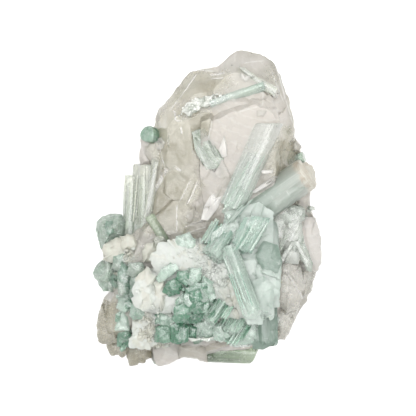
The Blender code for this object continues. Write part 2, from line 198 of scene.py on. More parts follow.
def inside_of(xy, outline, soft):
    """1 inside a closed outline and 0 outside it, with an edge that is soft mm wide."""
    outline = np.array(outline)
    ahead = np.roll(outline, -1, 0)
    run = ahead - outline
    off = xy[:, None] - outline[None]
    share = np.clip((off * run).sum(2) / (run ** 2).sum(1), 0.0, 1.0)
    far = np.linalg.norm(off - share[..., None] * run, axis=2).min(1)
    crosses = (outline[None, :, 1] > xy[:, 1:2]) != (ahead[None, :, 1] > xy[:, 1:2])
    rise = np.where(np.abs(run[:, 1]) < 1e-9, 1e-9, run[:, 1])
    at = outline[None, :, 0] + (xy[:, 1:2] - outline[None, :, 1]) * run[:, 0] / rise
    inside = (crosses & (xy[:, 0:1] < at)).sum(1) % 2 == 1
    return step(np.where(inside, far, -far), -soft, soft)


# %% [markdown]
# ## Shader maths as sums
# A finish is easier to read as an expression than as a list of links. One small class wraps a socket, so
# that adding or multiplying adds the Math node for it.

# %% Sockets that can be added and multiplied
class Value:
    """A number that a node gives, which takes part in sums and products."""

    def __init__(self, finish, socket):
        self.finish = finish
        self.socket = socket

    def maths(self, operation, first, second=None):
        values = [first] if second is None else [first, second]
        made = self.finish.node("ShaderNodeMath", {"operation": operation}, dict(enumerate(values)))
        return Value(self.finish, made.outputs[0])

    def __add__(self, other):
        return self.maths("ADD", self, other)

    __radd__ = __add__

    def __mul__(self, other):
        return self.maths("MULTIPLY", self, other)

    __rmul__ = __mul__

    def __sub__(self, other):
        return self.maths("SUBTRACT", self, other)

    def __rsub__(self, other):
        return self.maths("SUBTRACT", other, self)

    def __truediv__(self, other):
        return self.maths("DIVIDE", self, other)

    def __pow__(self, other):
        return self.maths("POWER", self, other)

    def over(self, low, high):
        """0 at low and 1 at high, with an even S between."""
        made = self.finish.node(
            "ShaderNodeMapRange", {"interpolation_type": "SMOOTHSTEP"}, {"Value": self, "From Min": low, "From Max": high}
        )
        return Value(self.finish, made.outputs[0])


class Finish:
    """A material under construction: its node tree, its shader and the coordinates that it reads."""

    def __init__(self, name, **plain):
        self.material = bpy.data.materials.new(name)
        self.material.use_nodes = True
        self.tree = self.material.node_tree
        self.shader = self.tree.nodes["Principled BSDF"]
        for label, value in plain.items():
            self.shader.inputs[label.replace("_", " ").title().replace("Ior", "IOR")].default_value = value
        self.where = self.node("ShaderNodeTexCoord").outputs["Object"]

    def node(self, kind, settings=None, inputs=None):
        """Adds a node, sets its settings first, then gives its sockets values or links."""
        made = self.tree.nodes.new(kind)
        for label, value in (settings or {}).items():
            setattr(made, label, value)
        for label, value in (inputs or {}).items():
            socket = made.inputs[label]
            if isinstance(value, Value):
                value = value.socket
            if isinstance(value, bpy.types.NodeSocket):
                self.tree.links.new(value, socket)
            else:
                socket.default_value = value
        return made

    def attribute(self, label):
        """A vector that the piece's points carry."""
        return self.node("ShaderNodeAttribute", {"attribute_name": label}).outputs["Vector"]

    def number(self, label):
        """A number that the piece's points carry."""
        return Value(self, self.node("ShaderNodeAttribute", {"attribute_name": label}).outputs["Fac"])

    def parts(self, vector):
        """The three parts of a vector."""
        made = self.node("ShaderNodeSeparateXYZ", None, {0: vector})
        return [Value(self, made.outputs[k]) for k in range(3)]

    def stretched(self, vector, scale):
        """A vector whose three parts are scaled."""
        return self.node("ShaderNodeVectorMath", {"operation": "MULTIPLY"}, {0: vector, 1: scale}).outputs[0]

    def noise(self, vector, scale, detail=4.0, rough=0.6, warp=0.0):
        """Soft noise from 0 to 1."""
        made = self.node(
            "ShaderNodeTexNoise", None,
            {"Vector": vector, "Scale": scale, "Detail": detail, "Roughness": rough, "Distortion": warp},
        )
        return Value(self, made.outputs["Fac"])

    def cells(self, vector, scale, feature="F1", spread=1.0):
        """Distance to scattered points, or to the edges between them."""
        made = self.node(
            "ShaderNodeTexVoronoi", {"feature": feature}, {"Vector": vector, "Scale": scale, "Randomness": spread}
        )
        return Value(self, made.outputs["Distance"])

    def facets(self, vector, scale):
        """Height in metres of small tilted planes: each cell's offset from its middle, along a chance tilt."""
        made = self.node("ShaderNodeTexVoronoi", {"feature": "F1"}, {"Vector": vector, "Scale": scale})
        off = self.node("ShaderNodeVectorMath", {"operation": "SUBTRACT"}, {0: vector, 1: made.outputs["Position"]})
        tilt = self.node(
            "ShaderNodeVectorMath", {"operation": "SUBTRACT"}, {0: made.outputs["Color"], 1: (0.5, 0.5, 0.5)}
        )
        dot = self.node(
            "ShaderNodeVectorMath", {"operation": "DOT_PRODUCT"}, {0: off.outputs[0], 1: tilt.outputs[0]}
        )
        return Value(self, dot.outputs["Value"]) * (1.0 / MM)

    def size_of(self, value):
        """A value without its sign."""
        return value.maths("ABSOLUTE", value)

    def ripples(self, x, y, wander):
        """Curved ripples of a shell-like break round a point, 1 on the crests: sine of the distance."""
        middle_x, middle_y, pitch = RIPPLE_MIDDLE[0] * MM, RIPPLE_MIDDLE[1] * MM, 2.6 * MM
        off_x, off_y = x - middle_x, y - middle_y
        reach = (off_x * off_x + off_y * off_y) ** 0.5
        return (reach * (math.tau / pitch) + wander * 9.0).maths("SINE", reach * (math.tau / pitch) + wander * 9.0).over(0.72, 0.98)

    def blend(self, factor, first, second):
        """A colour between two, which are colours or links."""
        made = self.node("ShaderNodeMix", {"data_type": "RGBA"}, {0: factor, 6: first, 7: second})
        return made.outputs[2]

    def colour(self, link):
        self.tree.links.new(link, self.shader.inputs["Base Color"])

    def roughness(self, value):
        self.tree.links.new(value.socket, self.shader.inputs["Roughness"])

    def bump(self, height, depth, strength=1.0):
        """Feeds the shader's normal with a height of so many metres."""
        made = self.node("ShaderNodeBump", None, {"Height": height, "Distance": depth, "Strength": strength})
        self.tree.links.new(made.outputs[0], self.shader.inputs["Normal"])

    def tinted_inside(self, colour, density):
        """Plain absorption through the crystal."""
        made = self.node("ShaderNodeVolumeAbsorption", None, {"Color": colour, "Density": density})
        self.tree.links.new(made.outputs[0], self.tree.nodes["Material Output"].inputs["Volume"])


RIPPLE_MIDDLE = (16.9, 41.6)


def rgb(red, green, blue):
    return (red, green, blue, 1.0)


# %% [markdown]
# ## The table and the light
# The specimen lies on its back on a white table, and the camera looks straight down on it from far away,
# so that near and far crystals keep their sizes. Broad lamps all round leave almost no shadow.

# %% Camera, floor and lamps
FRAME_WIDTH = 118.0
LOOK_AT = (0.43, 0.17, 14.0)
LENS = 200.0
SENSOR = 36.0
distance = LENS * FRAME_WIDTH / SENSOR

camera_data = bpy.data.cameras.new("camera")
camera_data.lens = LENS
camera_data.sensor_width = SENSOR
camera_data.clip_end = 10.0
camera = bpy.data.objects.new("camera", camera_data)
camera.location = Vector(LOOK_AT) * MM + Vector((0.0, 0.0, distance * MM))
bpy.context.scene.collection.objects.link(camera)
bpy.context.scene.camera = camera

floor_mesh = bpy.data.meshes.new("floor")
FLOOR = 3.0
corners = [(-FLOOR, -FLOOR, 0.0), (FLOOR, -FLOOR, 0.0), (FLOOR, FLOOR, 0.0), (-FLOOR, FLOOR, 0.0)]
floor_mesh.from_pydata(corners, [], [(0, 1, 2, 3)])
floor = bpy.data.objects.new("floor", floor_mesh)
floor.location.z = -0.00005
bpy.context.scene.collection.objects.link(floor)
floor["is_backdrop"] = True
table = Finish("table", roughness=0.9)
table.colour(table.blend(table.noise(table.where, 3.0), rgb(0.97, 0.97, 0.97), rgb(0.99, 0.99, 0.99)))
floor_mesh.materials.append(table.material)

world = bpy.data.worlds.new("studio")
bpy.context.scene.world = world
world.use_nodes = True
world.node_tree.nodes["Background"].inputs["Color"].default_value = rgb(1.0, 1.0, 1.0)
world.node_tree.nodes["Background"].inputs["Strength"].default_value = 1.41
bpy.context.scene.view_settings.view_transform = "Standard"


def lamp(name, where, size, power):
    """A square lamp that faces the specimen."""
    data = bpy.data.lights.new(name, "AREA")
    data.size = size
    data.energy = power
    item = bpy.data.objects.new(name, data)
    item.location = where
    item.rotation_euler = (-Vector(where)).to_track_quat("-Z", "Y").to_euler()
    bpy.context.scene.collection.objects.link(item)


lamp("key", (-0.25, 0.3, 0.75), 0.5, 3.2)
lamp("fill", (0.1, -0.05, 0.8), 0.5, 3.2)

# %% [markdown]
# ## The quartz matrix
# The block is massive smoky quartz, broken all round. Its form is fourteen convex pieces that all reach the
# same place inside, the heart. Seen from the heart the surface is a function of direction alone: along a
# ray, the least distance to a piece's planes, and the most of those over the pieces.

# %% Block shapes
HEART = np.array([0.0, -5.0, 11.0])
HEART_TOP = 21.0
BELOW = -3.0

BLOCKS = [
    # peak
    dict(
    outline=[(4.4, 41.6), (8.7, 45.0), (11.2, 44.9), (16.0, 43.4), (18.8, 41.4), (21.2, 38.6),
             (23.2, 31.0), (24.8, 24.0), (24.4, 14.0), (23.0, 0.0), (-6.0, 30.0)],
    low=7.0, high=13.0, front=19.0, slope=(0.02, 0.05), front_scale=0.86,
    ),
    # shoulder
    dict(
    outline=[(-13.2, 28.1), (-9.0, 33.6), (-4.8, 38.8), (-2.8, 39.6), (4.4, 40.2), (17.0, 36.0),
             (16.0, 8.0), (-14.0, 6.0)],
    low=5.0, high=14.0, front=21.0, slope=(0.10, 0.0), front_scale=0.83,
    ),
    # left flank
    dict(
    outline=[(-13.4, 28.0), (-15.2, 22.0), (-16.4, 15.0), (-17.4, 8.0), (-18.6, 1.0), (-19.4, -8.0),
             (6.0, -14.0), (8.0, 24.0)],
    low=5.0, high=11.0, front=20.0, slope=(0.16, 0.0), front_scale=0.78,
    ),
    # plateau
    dict(
    outline=[(-1.8, 25.6), (14.6, 31.8), (20.2, 29.6), (21.4, 22.0), (20.0, 6.0), (8.0, -8.0),
             (-2.0, 10.0)],
    low=8.0, high=20.5, front=23.4, slope=(0.03, 0.03), front_scale=0.93,
    ),
    # left bump
    dict(
    outline=[(-17.0, 20.4), (-18.5, 18.8), (-18.6, 16.8), (-17.2, 14.4), (-8.0, 12.0), (-8.0, 20.0)],
    low=6.0, high=10.5, front=15.0, front_scale=0.93,
    ),
    # right bump
    dict(
    outline=[(24.2, 21.0), (25.6, 19.4), (26.9, 17.8), (26.4, 15.6), (25.0, 6.0), (14.0, 12.0)],
    low=6.0, high=12.0, front=17.0, front_scale=0.93, back_scale=0.7,
    ),
    # lower
    dict(
    outline=[(-28.0, -25.9), (-26.0, -15.1), (-22.0, -6.1), (-12.0, 4.0), (23.7, 8.1), (29.1, -0.7),
             (30.6, -8.9), (31.0, -15.1), (28.0, -23.9), (22.0, -36.0), (15.7, -39.6), (-6.9, -41.2),
             (-22.5, -39.4)],
    low=5.0, high=11.0, front=20.5, slope=(0.0, 0.05), front_scale=0.78,
    ),
    # left block
    dict(
    outline=[(-29.1, -25.1), (-30.8, -29.3), (-31.3, -31.6), (-31.2, -36.7), (-30.4, -38.3),
             (-26.8, -38.6), (-16.0, -36.0), (-18.0, -16.0)],
    low=3.5, high=10.0, front=17.0, front_scale=0.88,
    ),
    # lower left wedge
    dict(
    outline=[(-28.6, -38.1), (-27.1, -41.9), (-25.1, -41.6), (-22.8, -41.2), (-16.0, -38.7),
             (-18.0, -26.0)],
    low=3.0, high=8.0, front=13.5, front_scale=0.9,
    ),
    # bottom wedge
    dict(
    outline=[(-22.9, -40.7), (-22.4, -44.4), (-21.7, -45.0), (-16.0, -42.4), (-11.0, -38.0)],
    low=3.0, high=8.0, front=13.0, front_scale=0.92,
    ),
    # bottom rhomb
    dict(
    outline=[(-16.0, -40.1), (-15.6, -42.6), (-13.6, -44.8), (-11.8, -44.3), (-6.9, -42.2),
             (-6.0, -37.6)],
    low=4.0, high=10.5, front=15.0, front_scale=0.9,
    ),
    # bottom strip
    dict(
    outline=[(-8.1, -42.0), (-4.7, -42.4), (1.0, -41.4), (7.0, -38.7)],
    low=5.0, high=11.0, front=16.0, front_scale=0.9,
    ),
    # right lump
    dict(
    outline=[(28.6, -0.9), (30.4, -2.6), (31.4, -4.4), (32.1, -7.5), (32.5, -11.7), (32.6, -15.6),
             (31.2, -17.1), (29.2, -18.6)],
    low=5.5, high=11.0, front=18.0, front_scale=0.86,
    ),
    # lower right
    dict(
    outline=[(27.0, -12.0), (29.6, -19.0), (29.6, -23.1), (26.2, -28.5), (22.0, -36.9), (17.8, -39.0),
             (9.5, -33.0)],
    low=5.0, high=10.0, front=19.0, front_scale=0.84,
    ),
]
SCOOPS = [
    ((3.0, 47.0, 21.0), 8.0),
    ((25.0, 44.0, 13.0), 6.2),
    ((17.6, 44.6, 22.0), 6.0),
    ((-8.0, 41.0, 22.5), 7.0),
    ((-18.6, 27.0, 20.0), 8.0),
    ((30.4, 13.0, 20.0), 8.4),
    ((-33.0, -20.0, 19.0), 6.0),
    ((33.0, -27.0, 20.0), 9.0),
    ((28.0, -42.0, 16.0), 7.5),
    ((-24.0, -46.0, 15.0), 5.0),
    ((4.0, -45.5, 17.0), 5.0),
    ((35.0, 4.0, 8.0), 5.0),
    ((-26.0, 14.0, 2.0), 8.0),
    ((30.0, 30.0, 1.0), 8.0),
    ((-36.0, -30.0, 2.0), 6.0),
    ((6.0, 48.0, 3.0), 7.0),
]


def planes_round(points):
    """Outward normals and offsets of the faces of the convex solid round some points."""
    made = bmesh.new()
    for point in points:
        made.verts.new(point)
    bmesh.ops.convex_hull(made, input=made.verts)
    bmesh.ops.recalc_face_normals(made, faces=made.faces)
    rows = {
        tuple(round(part, 3) for part in (*face.normal, face.normal.dot(face.verts[0].co))): None
        for face in made.faces
    }
    made.free()
    found = np.array(list(rows))
    return found[:, :3], found[:, 3]


def block_planes(outline, low, high, front, slope=(0.0, 0.0), front_scale=0.85, back_scale=0.6):
    """Planes of one block: widest between low and high, drawn in towards the heart at front and back."""
    flat = HEART[:2]
    outline = np.array(outline)
    inner = flat + (outline - flat) * front_scale
    under = flat + (outline - flat) * back_scale
    waist = flat + (outline - flat) * 0.97
    rise = front + inner @ np.array(slope)
    size = len(outline)
    loops = [
        np.column_stack([outline, np.full(size, high)]),
        np.column_stack([waist, np.full(size, low)]),
        np.column_stack([inner, rise]),
        np.column_stack([under, np.full(size, BELOW)]),
        [(*flat, HEART_TOP), (*flat, BELOW)],
    ]
    return planes_round(np.concatenate(loops))


def block_reach(ways, softness=0.06):
    """Distance from the heart to the surface along each way: the most, over blocks, of the least to its planes."""
    reach = np.zeros(len(ways))
    for shape in BLOCKS:
        normals, offsets = block_planes(**shape)
        facing = ways @ normals.T
        far = np.where(facing > 1e-4, (offsets - normals @ HEART) / np.maximum(facing, 1e-4), 1e3)
        least = far.min(1)
        soft = least - softness * np.log(np.exp(-np.minimum(far - least[:, None], 60.0) / softness).sum(1))
        reach = np.maximum(reach, np.maximum(soft, least - 0.35))
    for centre, radius in SCOOPS:
        off = np.array(centre) - HEART
        along = ways @ off
        inside = along ** 2 - off @ off + radius ** 2
        root = np.sqrt(np.maximum(inside, 0.0))
        cut = (inside > 0.0) & (along - root > 1.0) & (along - root < reach) & (along + root > reach)
        reach = np.where(cut, along - root, reach)
    return reach


# %% [markdown]
# The rays are closer together on the front, which the camera sees, than on the back.

# %% The block's rays
def ray_grid(rows, columns, front_share=0.64, front_angle=74.0):
    """Unit vectors from the heart: rows from straight up to straight down, more of them on the front."""
    turn = math.radians(front_angle)
    many = int(rows * front_share)
    upper = np.arctan(np.linspace(0.0, 1.0, many + 1)[1:] * math.tan(turn))
    lower = np.linspace(turn, math.pi, rows - many + 1, endpoint=False)[1:]
    polar = np.concatenate([upper, lower])
    around = np.linspace(0.0, math.tau, columns, endpoint=False)
    polar, around = np.meshgrid(polar, around, indexing="ij")
    return np.stack([np.sin(polar) * np.cos(around), np.sin(polar) * np.sin(around), np.cos(polar)], -1)


# %% [markdown]
# Smoky quartz is clear in some places and frosted in others. The areas are named here as outlines on the
# front, and every point of the mesh carries three numbers: how clear, how pink and how dark it is.

# %% Quartz areas
CLEAR = [
    ([(-5.8, 36.5), (-2.4, 39.0), (7.2, 38.2), (7.8, 34.2), (-0.1, 31.6), (-4.7, 31.4), (-8.6, 28.0), (-12.1, 27.4), (-10.4, 31.4)], 0.85),
    ([(-15.2, 22.9), (-12.1, 26.8), (-6.4, 27.4), (1.6, 26.8), (0.1, 20.6), (-3.0, 21.7), (-3.8, 16.6), (-2.7, 11.5), (-7.5, 10.4), (-14.3, 11.5), (-16.3, 17.8)], 0.9),
    ([(-12.3, 18.6), (-5.2, 19.2), (-4.7, 12.6), (-11.8, 12.1)], 1.0),
    ([(-12.1, 10.4), (-3.5, 11.5), (-0.7, 6.4), (-4.1, 0.7), (-6.4, -6.1), (-17.2, -7.2), (-19.4, -2.1)], 0.85),
    ([(16.3, 11.5), (18.6, 17.2), (20.8, 23.1), (24.0, 23.1), (25.7, 14.4), (23.7, 8.7), (19.1, 8.7)], 0.95),
    ([(15.7, 39.9), (18.6, 40.4), (20.8, 35.9), (18.6, 35.3)], 0.4),
    ([(-27.9, -38.1), (-16.0, -39.0), (-16.0, -42.4), (-22.3, -44.6), (-26.8, -41.8)], 0.8),
    ([(-30.8, -26.5), (-25.1, -25.9), (-25.1, -37.3), (-30.8, -37.8)], 0.6),
]
PINK = [
    ([(1.6, 27.4), (8.9, 31.4), (17.4, 33.6), (21.7, 31.4), (23.7, 24.0), (18.0, 22.0), (14.6, 20.6), (9.5, 13.8), (6.7, 9.2), (2.1, 12.6), (0.4, 18.9)], 1.0),
    ([(-3.0, 10.4), (0.4, 12.1), (4.4, 10.4), (4.4, 5.3), (-0.1, 1.3), (-4.1, 0.7)], 0.7),
    ([(8.4, 44.4), (15.7, 43.3), (18.0, 41.0), (14.6, 38.7), (9.5, 40.4), (5.5, 40.4)], 0.6),
    ([(1.0, 40.4), (4.4, 41.0), (4.4, 38.2), (-0.1, 38.7)], 0.9),
    ([(27.1, -2.7), (31.3, -4.9), (32.5, -14.0), (31.1, -16.8), (26.5, -15.1), (25.9, -7.8)], 1.0),
    ([(-4.7, -37.3), (12.3, -36.7), (12.3, -40.1), (-0.1, -41.8), (-4.7, -40.7)], 0.9),
    ([(-14.9, -40.1), (-9.8, -37.8), (-7.5, -40.7), (-11.5, -44.1)], 0.7),
]
DARK = [
    ([(-1.8, 36.8), (5.5, 37.0), (6.1, 34.2), (-0.1, 32.2), (-3.0, 33.1)], 0.9),
    ([(-12.1, 18.0), (-5.5, 18.6), (-5.2, 13.2), (-11.2, 12.4)], 1.0),
    ([(18.0, 11.5), (20.8, 19.5), (23.4, 21.2), (24.5, 14.4), (22.5, 9.8)], 0.7),
    ([(-23.4, -38.4), (-16.0, -40.1), (-18.9, -42.9), (-22.3, -44.1)], 1.0),
    ([(-31.3, -25.9), (-25.1, -24.8), (-24.5, -38.4), (-31.3, -38.4)], 1.0),
    ([(-27.9, -38.4), (-22.8, -38.4), (-22.8, -42.4), (-27.4, -42.4)], 0.7),
    ([(-14.3, 4.7), (-6.9, 8.1), (-6.9, 1.0), (-16.0, -4.4)], 0.8),
    ([(-4.7, 26.3), (1.0, 26.3), (-0.1, 22.3), (-3.5, 22.3)], 0.6),
]


def painted(points, areas, soft, seed):
    """How far inside its areas each point of the front is, with a ragged edge."""
    ragged = np.stack([waves(points, 6.0, seed), waves(points, 6.0, seed + 1)], -1) * 0.6
    xy = points[:, :2] + ragged
    most = np.zeros(len(points))
    for outline, strength in areas:
        most = np.maximum(most, inside_of(xy, outline, soft) * strength)
    return most * step(points[:, 2], 2.0, 6.0)


# %% [markdown]
# Some edges of the break are plain to see, so they are named: each is a line on the front where the stone
# steps down on the right-hand side, or a low ridge.

# %% Named edges
LEDGES = [
    # start, end, height in mm, how far the step reaches from the line in mm
    ((21.1, 39.9), (25.1, 23.4), 1.3, 5.0),
    ((18.0, 41.0), (22.0, 29.7), 0.8, 3.5),
    ((0.4, 19.5), (1.8, 27.1), 1.2, 4.5),
    ((4.4, 13.8), (0.4, 19.5), 1.0, 4.0),
    ((7.2, 7.5), (4.4, 13.8), 0.8, 4.0),
    ((1.8, 27.1), (9.5, 31.4), 0.7, 3.0),
    ((9.5, 31.4), (17.4, 33.6), 0.6, 3.0),
    ((16.0, 32.5), (15.5, 28.5), 0.5, 2.2),
    ((15.5, 28.5), (8.9, 26.8), 0.5, 2.4),
    ((17.4, 24.0), (12.3, 25.4), 0.5, 2.6),
    ((-10.9, 10.9), (-19.4, -1.8), -0.7, 3.0),
    ((-3.0, 7.5), (-5.5, 1.3), 0.6, 2.4),
    ((-5.2, 8.1), (-8.1, 2.4), 0.5, 2.4),
    ((-0.1, -3.2), (-6.4, -5.2), 0.7, 2.6),
    ((0.4, -5.5), (-5.8, -7.2), 0.7, 2.0),
    ((-2.1, 38.7), (-9.8, 28.0), 0.8, 3.4),
    ((5.5, 38.2), (-3.0, 37.9), 0.9, 3.0),
    ((10.6, 41.6), (4.4, 38.7), 0.7, 3.0),
    ((22.0, 16.6), (17.4, 10.9), 0.7, 3.0),
    ((23.4, 22.3), (22.0, 16.6), 0.7, 3.0),
    ((25.4, 13.8), (23.4, 22.3), -0.6, 2.6),
    ((-11.8, 17.2), (-4.7, 18.9), 0.5, 3.0),
    ((-4.7, 12.1), (-12.3, 10.9), 0.6, 3.0),
    ((26.5, -5.5), (25.4, -13.4), 0.8, 2.6),
    ((20.3, -15.1), (27.1, -25.9), 0.8, 3.4),
    ((27.1, -25.9), (22.0, -36.7), 0.7, 3.0),
    ((29.4, -15.1), (27.4, -23.1), 0.6, 2.4),
    ((-24.5, -25.9), (-26.8, -34.4), 0.6, 2.6),
    ((-29.1, -31.0), (-25.1, -31.0), 0.5, 2.0),
    ((-22.3, -44.6), (-22.8, -38.7), 0.7, 2.0),
    ((-11.5, -37.8), (-11.5, -43.5), 0.5, 1.8),
    ((9.5, -36.4), (-6.4, -36.7), 0.6, 1.8),
    ((19.7, -32.4), (8.4, -32.4), 0.4, 1.4),
]


HOLLOWS = [
    # outline on the front, depth in mm
    ([(-9.2, 26.3), (-6.9, 29.9), (2.1, 33.1), (17.4, 36.5), (18.9, 33.6), (2.7, 29.1), (-4.7, 25.7)], 1.3),
    ([(-4.1, 22.9), (-0.7, 23.4), (4.4, 13.8), (2.1, 10.4), (-0.7, 12.1), (-3.5, 17.2)], 1.5),
    ([(8.9, 40.4), (11.8, 39.9), (20.8, 33.1), (19.7, 31.4), (15.7, 33.6)], 0.8),
]


def relief(points):
    """Sum of the named steps: half the height up on the left of a line, half down on its right, dying away."""
    xy = points[:, :2]
    rise = np.zeros(len(points))
    for start, end, height, reach in LEDGES:
        share, left = along_line(xy, start, end)
        ends = step(share, -0.12, 0.05) * step(share, 1.12, 0.95)
        rise += 0.5 * height * np.sign(left) * step(np.abs(left), 0.0, 0.25) * np.exp(-np.abs(left) / reach) * ends
    for outline, depth in HOLLOWS:
        rise -= depth * inside_of(xy, outline, 0.45)
    return rise * step(points[:, 2], 9.0, 14.0)


def rock_surface(rows, columns):
    """The block's rings: reach along each ray, less chips, steps and the flat that it rests on."""
    ways = ray_grid(rows, columns)
    flat_ways = ways.reshape(-1, 3)
    reach = block_reach(flat_ways)
    points = HEART + flat_ways * reach[:, None]
    rough = step(waves(points, 20.0, 11), -0.5, 0.4)
    uneven = points + 0.5 * np.stack([waves(points, 4.0, 21 + k) for k in range(3)], -1)
    height = np.clip(chips(uneven, 300, 1, 0.16), -0.8, 0.5) * (0.35 + 0.65 * rough)
    height += np.clip(chips(uneven, 1800, 2, 0.16), -0.3, 0.25) * (0.2 + 0.8 * rough)
    height += 0.12 * waves(points, 2.6, 3) + 0.05 * waves(points, 1.2, 4)
    height *= 1.0 - 0.7 * painted(points, CLEAR, 1.5, 71)
    reach = reach + height * 0.8 + 0.15 + relief(points)
    low, high = np.array(cad_low) / MM - HEART, np.array(cad_high) / MM - HEART
    walls = np.where(flat_ways > 0.0, high, low) / np.where(np.abs(flat_ways) < 1e-6, 1e-6, flat_ways)
    reach = np.minimum(reach, np.abs(walls).min(1))
    points = HEART + flat_ways * reach[:, None]
    return points.reshape(rows, columns, 3)


rock_rows, rock_columns = ((194, 508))
rock = rock_surface(rock_rows, rock_columns)
first_pole = rock[0].mean(0)
last_pole = rock[-1].mean(0)
quartz_part = closed_rings(rock[::-1], last_pole, first_pole)
front = rock[:int(rock_rows * 0.7)].reshape(-1, 3)


def front_height(xy):
    """How high the front of the stone is at some places, in mm."""
    which, _ = nearest_of(np.column_stack([xy, np.zeros(len(xy))]), front * [1.0, 1.0, 0.0])
    return front[which, 2]


# %% [markdown]
# The broken faces carry healed cracks, and some rims of the break show as pale lines.

# %% Veins and finish of the quartz
# Healed cracks and rims of the break, each a pale line on the front: start, end, width in mm.
VEINS = [
    ((-10.9, 11.5), (-19.1, -2.4), 1.5),
    ((-2.4, 7.5), (-5.5, 1.0), 0.6),
    ((-4.4, 7.8), (-7.5, 2.2), 0.45),
    ((0.1, -2.9), (-6.4, -5.2), 0.5),
    ((-0.1, -5.2), (-5.8, -6.9), 0.5),
    ((16.0, 32.8), (15.5, 28.8), 0.6),
    ((15.5, 28.8), (8.9, 27.1), 0.6),
    ((-2.4, 38.5), (-10.4, 27.4), 0.5),
    ((1.0, 37.9), (5.2, 38.2), 0.8),
    ((1.3, 36.8), (5.0, 36.8), 0.5),
    ((-3.0, 39.3), (2.1, 39.0), 0.6),
    ((19.7, 40.4), (24.5, 24.0), 0.6),
    ((17.7, 40.4), (22.0, 29.7), 0.5),
    ((-9.2, 27.7), (-8.6, 24.8), 0.8),
    ((-8.6, 24.8), (-6.9, 24.6), 0.6),
    ((-7.2, 22.9), (-6.9, 20.9), 0.8),
    ((-9.2, 11.8), (-7.2, 10.4), 1.0),
    ((-13.2, 17.2), (-11.8, 10.9), 0.5),
    ((-8.4, 1.0), (-8.4, -6.6), 0.7),
    ((-13.2, -1.5), (-16.6, -4.4), 0.5),
    ((10.4, 41.0), (16.3, 42.1), 0.5),
    ((1.6, 25.1), (0.4, 19.5), 0.5),
    ((2.1, 16.6), (4.7, 14.1), 0.6),
    ((27.4, -8.3), (29.6, -15.1), 0.5),
    ((21.1, -15.4), (27.7, -25.9), 0.5),
    ((15.7, -37.8), (20.3, -34.4), 0.5),
]


def vein_mask(finish, x, y, wander):
    """1 on the named pale lines: near in the across direction and between the ends in the along direction."""
    mask = None
    for start, end, width in VEINS:
        run = np.array(end) - np.array(start)
        length = float(np.linalg.norm(run))
        side_x, side_y = run / length
        along = ((x - start[0] * MM) * float(side_x) + (y - start[1] * MM) * float(side_y)) * (1.0 / (length * MM))
        across = (y - start[1] * MM) * float(side_x) - (x - start[0] * MM) * float(side_y) + wander
        near = finish.size_of(across).over(0.5 * width * MM, 0.2 * width * MM)
        one = near * along.over(-0.03, 0.1) * along.over(1.03, 0.9)
        mask = one if mask is None else mask + one
    return mask


def quartz_finish():
    """Smoky to milky quartz: frosted and pinkish where broken, clear and brown in the windows."""
    quartz = Finish("smoky_quartz", ior=1.544, transmission_weight=0.68)
    clear, pink, dark, light = (quartz.number(label) for label in ("clear", "pink", "dark", "light"))
    x, y, _ = quartz.parts(quartz.where)
    soft = quartz.noise(quartz.where, 120.0, 6.0, 0.65, 0.6)
    fine = quartz.noise(quartz.where, 900.0, 5.0, 0.7)
    veil = quartz.noise(quartz.stretched(quartz.where, (1.0, 1.6, 1.0)), 260.0, 7.0, 0.72, 1.2)
    beige = quartz.blend(soft.over(0.36, 0.64), rgb(*BEIGE_LOW), rgb(*BEIGE_HIGH))
    frosted = quartz.blend(pink, beige, rgb(*FROSTED))
    smoky = quartz.blend(soft.over(0.3, 0.7), rgb(*SMOKY_LOW), rgb(*SMOKY_HIGH))
    body = quartz.blend(clear * 0.85, frosted, smoky)
    body = quartz.blend(dark * soft.over(0.25, 0.58) * 0.85, body, rgb(*SMOKY_DARK))
    body = quartz.blend(veil.over(0.56, 0.70) * (0.55 - clear * 0.4), body, rgb(*VEIL))
    wander = (soft - 0.5) * 0.0012
    veins = vein_mask(quartz, x, y, wander)
    body = quartz.blend(veins * (fine.over(0.35, 0.6) * 0.6 + 0.3), body, rgb(*WHITE))
    ripple = quartz.ripples(x, y, veil)
    # Painted highlight: the crests of the ripples on the pink broken faces are painted whiter, as light on the ridges;
    # the ripples also give a small bump.
    body = quartz.blend(ripple * pink * 0.35, body, rgb(*WHITE))
    # Whiteness from the light number: pale flakes and plates, and on one flake a painted glint.
    body = quartz.blend(light, body, rgb(*WHITE))
    quartz.colour(body)
    quartz.roughness(0.34 + (fine - 0.5) * 0.5 + pink * 0.12 - clear * 0.2)
    broken = quartz.facets(quartz.where, 420.0) * 0.5 + quartz.facets(quartz.where, 1400.0) * 0.35
    quartz.bump(broken * (1.0 - clear * 0.5) + (fine * 0.03 + veil * 0.10 + ripple * pink * 0.05 + veins * 0.08), MM, 0.45)
    quartz.tinted_inside(rgb(0.86, 0.78, 0.62), 14.0)
    return quartz.material


BEIGE_LOW = (0.501, 0.482, 0.423)
BEIGE_HIGH = (0.631, 0.611, 0.557)
FROSTED = (0.773, 0.736, 0.691)
SMOKY_LOW = (0.505, 0.497, 0.395)
SMOKY_HIGH = (0.655, 0.628, 0.525)
SMOKY_DARK = (0.44, 0.415, 0.32)
VEIL = (0.772, 0.751, 0.706)
WHITE = (0.97, 0.96, 0.93)
quartz_material = quartz_finish()
stone = quartz_part[0]
quartz_numbers = [
    ("clear", "FLOAT", [painted(stone, CLEAR, 1.2, 71)]),
    ("pink", "FLOAT", [painted(stone, PINK, 0.9, 73)]),
    ("dark", "FLOAT", [painted(stone, DARK, 1.6, 75)]),
]
quartz = place("quartz_matrix_rock", [quartz_part], quartz_numbers, sharp=22.0)
settle(quartz, ["quartz_matrix"], quartz_material)
